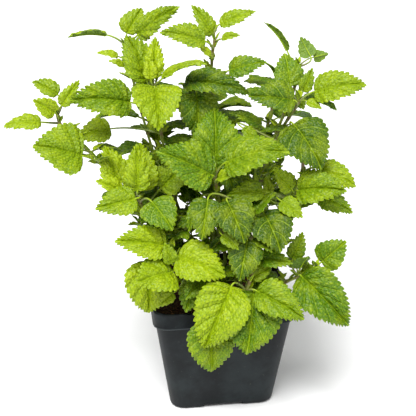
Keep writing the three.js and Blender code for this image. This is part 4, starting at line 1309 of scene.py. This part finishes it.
def make_pot(material):
    """The moulded pot: the frame's pot with its flat faces joined and every edge rounded."""
    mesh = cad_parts["pot"].data.copy()
    mesh.name = "nursery_pot"
    shape = bmesh.new()
    shape.from_mesh(mesh)
    bmesh.ops.remove_doubles(shape, verts=shape.verts, dist=MERGE_WITHIN)
    flat = math.radians(FLAT_WITHIN)
    bmesh.ops.dissolve_limit(shape, angle_limit=flat, verts=shape.verts, edges=shape.edges)
    shape.to_mesh(mesh)
    shape.free()
    pot = finished("nursery_pot", mesh, material, EDGE_ANGLE)
    rounding = pot.modifiers.new("edges", "BEVEL")
    rounding.width = EDGE_ROUND * MM
    rounding.segments = 3
    rounding.limit_method = "ANGLE"
    rounding.angle_limit = math.radians(EDGE_ANGLE)
    rounding.use_clamp_overlap = True
    return pot


def rounded_square(width, corner, sides):
    """A ring of points on a rounded square, evenly spaced in angle: on each ray, the point of the
    square with its corners cut round."""
    angle = np.arange(sides) * 2 * np.pi / sides + OFF_AXIS
    c = np.abs(np.cos(angle))
    s = np.abs(np.sin(angle))
    half = width / 2
    inset = half - corner
    reach = half / np.maximum(c, s)
    round_part = (reach * c > inset) & (reach * s > inset)
    along = inset * (c + s)
    round_reach = along + np.sqrt(np.maximum(along ** 2 - 2 * inset ** 2 + corner ** 2, 0))
    reach = np.where(round_part, round_reach, reach)
    return beside(reach * np.cos(angle), reach * np.sin(angle))


def soil_place(x, y, share, lift=0.0):
    """Places on the uneven top: broad swells, clods and grain as sums of waves, a little higher in the
    middle, where share is 0, than at the wall."""
    swell = 0.6 * np.sin(0.11 * x + 0.7) * np.cos(0.13 * y - 0.4) + 0.4 * np.sin(0.23 * x - 0.19 * y)
    clods = cells(x / CLOD_SIZE + 40, y / CLOD_SIZE + 40, 3, SOIL_JITTER) - 0.5
    grain = cells(x / GRAIN_SIZE + 60, y / GRAIN_SIZE + 60, 8, SOIL_JITTER) - 0.5
    z = SOIL_LEVEL + SOIL_CROWN * (1 - share) + SOIL_CRUMB * (0.5 * swell + 0.8 * clods + 0.35 * grain)
    return beside(x, y, z + lift)


def make_soil(material):
    """The soil's block with its uneven top, strewn with crumbs and fibres. Its rings follow the
    tapering wall from the pot's floor up, and then close in over the top."""
    mesh = Mesh()
    inward = WALL + SEAT_GAP
    bottom = FLOOR + SEAT_GAP
    middle = POT_HEIGHT - BAND_HEIGHT - BAND_LIP
    rings = []
    for z, shrink in ((bottom, 0.02), (bottom, 1), (middle, 1)):
        width = BASE_WIDTH + (WALL_TOP_WIDTH - BASE_WIDTH) * (z / (POT_HEIGHT - BAND_HEIGHT))
        ring = rounded_square(width - 2 * inward, CORNER - inward, SOIL_SIDES) * shrink
        rings.append(np.concatenate([ring, np.full((SOIL_SIDES, 1), z)], axis=1))
    width = WALL_TOP_WIDTH - 2 * inward
    edge = rounded_square(width, CORNER - inward, SOIL_SIDES)
    rings += [soil_place(*(edge * share).T, share) for share in np.linspace(1, 0.015, SOIL_RINGS)]
    ends = np.array([[0, 0, bottom], [0, 0, rings[-1][:, 2].mean()]])
    vertices = np.concatenate([*rings, ends])
    mesh.add(vertices, tube_faces(len(rings), SOIL_SIDES), tone=np.zeros(3))
    rng = np.random.default_rng(SOIL_SEED)
    add_crumbs(mesh, width / 2, rng)
    add_fibres(mesh, width / 2, rng)
    return mesh.piece("coir_soil", material, sharp=60)


def add_crumbs(mesh, half, rng):
    """Loose crumbs on the soil, each a squashed and turned octahedron."""
    corners = np.array([[1, 0, 0], [-1, 0, 0], [0, 1, 0], [0, -1, 0], [0, 0, 1], [0, 0, -1]], float)
    faces = [[0, 2, 4], [2, 1, 4], [1, 3, 4], [3, 0, 4], [2, 0, 5], [1, 2, 5], [3, 1, 5], [0, 3, 5]]
    x, y = rng.uniform(-1, 1, (2, CRUMBS)) * (half - CRUMB_MARGIN)
    size = rng.uniform(*CRUMB_SIZE, CRUMBS) ** 1.3
    spin = rng.uniform(0, 2 * np.pi, CRUMBS)
    stretch = rng.uniform(*CRUMB_STRETCH, (CRUMBS, 6, 3)) * np.array(CRUMB_SHAPE)
    points = turned(corners * stretch * size[:, None, None], spin[:, None])
    share = np.maximum(np.abs(x), np.abs(y)) / half
    vertices = (points + soil_place(x, y, share, CRUMB_LIFT * size)[:, None]).reshape(-1, 3)
    tint = np.repeat(rng.uniform(0, CRUMB_TINT, CRUMBS) ** 2, 6)
    mesh.add(vertices, [repeated(faces, 6, CRUMBS)], tone=beside(tint, 0, 0))


def add_fibres(mesh, half, rng):
    """Curved fibres lying on the soil, each a thin tube along an arc."""
    for _ in range(FIBRES):
        start = rng.uniform(-1, 1, 2) * (half - FIBRE_MARGINS[0])
        heading = rng.uniform(0, 2 * np.pi)
        bend = rng.uniform(-FIBRE_BEND, FIBRE_BEND)
        steps = np.linspace(0, rng.uniform(*FIBRE_LENGTH), FIBRE_POINTS)
        turn = heading + bend * steps
        inside = half - FIBRE_MARGINS[1]
        x = np.clip(start[0] + steps * np.cos(turn), -inside, inside)
        y = np.clip(start[1] + steps * np.sin(turn), -inside, inside)
        share = np.maximum(np.abs(x), np.abs(y)) / half
        lift = FIBRE_LIFT + rng.uniform(0, FIBRE_ARCH) * np.sin(np.linspace(0, np.pi, FIBRE_POINTS))
        radii = np.full(FIBRE_POINTS, rng.uniform(*FIBRE_RADIUS))
        tone = np.array([rng.uniform(*FIBRE_TINT), 0, 0])
        add_tube(mesh, soil_place(x, y, share, lift), radii, np.array([0.0, 0, 1]), 4, tone=tone)


# Plant


# How a leaf's tint strays, how yellow a young leaf is and at what lengths, how brown a petiole is and
# how far from the stem's tip, and the seeds of the shoots' small leaves
TINT_SPREAD = (-0.12, 0.12)
YOUTH = 0.8
YOUTH_LENGTHS = (26, 6)
LEAST_BROWN = 0.35
BROWN_REACH = (60, 10)
BROWN_SPREAD = (0.5, 1)
SPROUT_SEED = 501
SIDE_SHOOT_SEED = 9001
SHOOT_SEED_STEP = 97


def make_shoot(name, stem, placed, blade_look, stalk_look, order):
    """A leafy stem: the blades in one mesh and the stem with the petioles in another, turned and moved
    to the plant's place in the pot."""
    blades = Mesh()
    stalks = Mesh()
    add_stem(stalks, stem)
    tip = stem.nodes[0]
    for one in placed:
        leaf = one.leaf
        draw = draws(leaf.seed + 7)
        tint = min(1, max(0, one.tint + draw(TINT_SPREAD)))
        youth = YOUTH * smooth(*YOUTH_LENGTHS, leaf.length)
        brown = LEAST_BROWN + (1 - LEAST_BROWN) * smooth(*BROWN_REACH, np.linalg.norm(one.node - tip))
        add_blade(blades, leaf, tint, youth, fine=one.listed)
        add_petiole(stalks, leaf, one.node, brown * draw(BROWN_SPREAD))
    add_sprouts(blades, stalks, stem, SPROUT_SEED + SHOOT_SEED_STEP * order)
    add_side_shoots(blades, stalks, stem, SIDE_SHOOT_SEED + SHOOT_SEED_STEP * order)
    for mesh, label, look in ((blades, "leaves", blade_look), (stalks, "stem", stalk_look)):
        standing = [turned(patch, math.radians(PLANT_TURN)) + [*PLANT_SHIFT, 0] for patch in mesh.vertices]
        mesh.vertices = [drawn_in(patch) for patch in standing]
        piece = mesh.piece(f"{label}_{name}", look)
        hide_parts(f"shoot_{name}")
        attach(piece, "root")


def make_plant():
    """All leafy stems, each by the same steps."""
    stems = {name: make_stem(plan) for name, plan in SHOOTS.items()}
    placed = grow_leaves(stems)
    looks = (leaf_material(), stalk_material())
    for order, (name, stem) in enumerate(stems.items()):
        make_shoot(name, stem, [one for one in placed if one.shoot == name], *looks, order)


# Studio


FLOOR_SIZE = 60
FLOOR_WHITE = (0.92, 0.92, 0.92, 1)


def make_floor():
    """A wide plain floor, nearly white, its size in metres."""
    bpy.ops.mesh.primitive_plane_add(size=FLOOR_SIZE)
    floor = bpy.context.object
    floor.name = "studio_floor"
    floor.data.materials.append(Look("studio_floor").finish(Base_Color=FLOOR_WHITE, Roughness=0.9))


# Each light: its rise and heading in degrees, its strength and how many degrees across it looks
STUDIO_LIGHTS = (
    ("key", 58, -116, 4.3, 30),
    ("fill", 42, -37, 0.6, 50),
)
SURROUND = 0.41


def facing(toward):
    """A turn that points an object's Z along a direction, as a light or camera looks away from it."""
    return Vector(toward).to_track_quat("Z", "Y").to_matrix().to_4x4()


def make_studio():
    """Soft light from the upper left of the front, much weaker light from the right, and a plain
    white surround."""
    world = bpy.data.worlds.new("studio")
    bpy.context.scene.world = world
    world.use_nodes = True
    background = world.node_tree.nodes["Background"]
    background.inputs["Color"].default_value = (1, 1, 1, 1)
    background.inputs["Strength"].default_value = SURROUND
    for name, rise, heading, strength, softness in STUDIO_LIGHTS:
        lamp = bpy.data.lights.new(name, "SUN")
        lamp.energy = strength
        lamp.angle = math.radians(softness)
        linked(name, lamp).matrix_world = facing(direction(heading, rise))
    bpy.context.scene.view_settings.view_transform = "Standard"


# The camera that took the photo, as fitted to the pot's rim and base
CAMERA_PLACE = (-0.08767, -0.62306, 0.39135)
CAMERA_TARGET = (-0.00702, -0.00299, 0.14982)
CAMERA_LENS = 77.88
SENSOR = 36
CLIP_START = 0.02


def make_camera():
    """The camera at the photo's angle, distance and lens."""
    lens = bpy.data.cameras.new("camera")
    lens.lens = CAMERA_LENS
    lens.sensor_width = SENSOR
    lens.sensor_fit = "HORIZONTAL"
    lens.clip_start = CLIP_START
    camera = linked("camera", lens)
    turn = facing(Vector(CAMERA_PLACE) - Vector(CAMERA_TARGET))
    camera.matrix_world = Matrix.Translation(Vector(CAMERA_PLACE)) @ turn
    bpy.context.scene.camera = camera


make_camera()
make_studio()
make_floor()
pot = make_pot(pot_material())
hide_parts("pot")
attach(pot, "root")
soil = make_soil(soil_material())
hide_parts("soil")
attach(soil, "root")
make_plant()
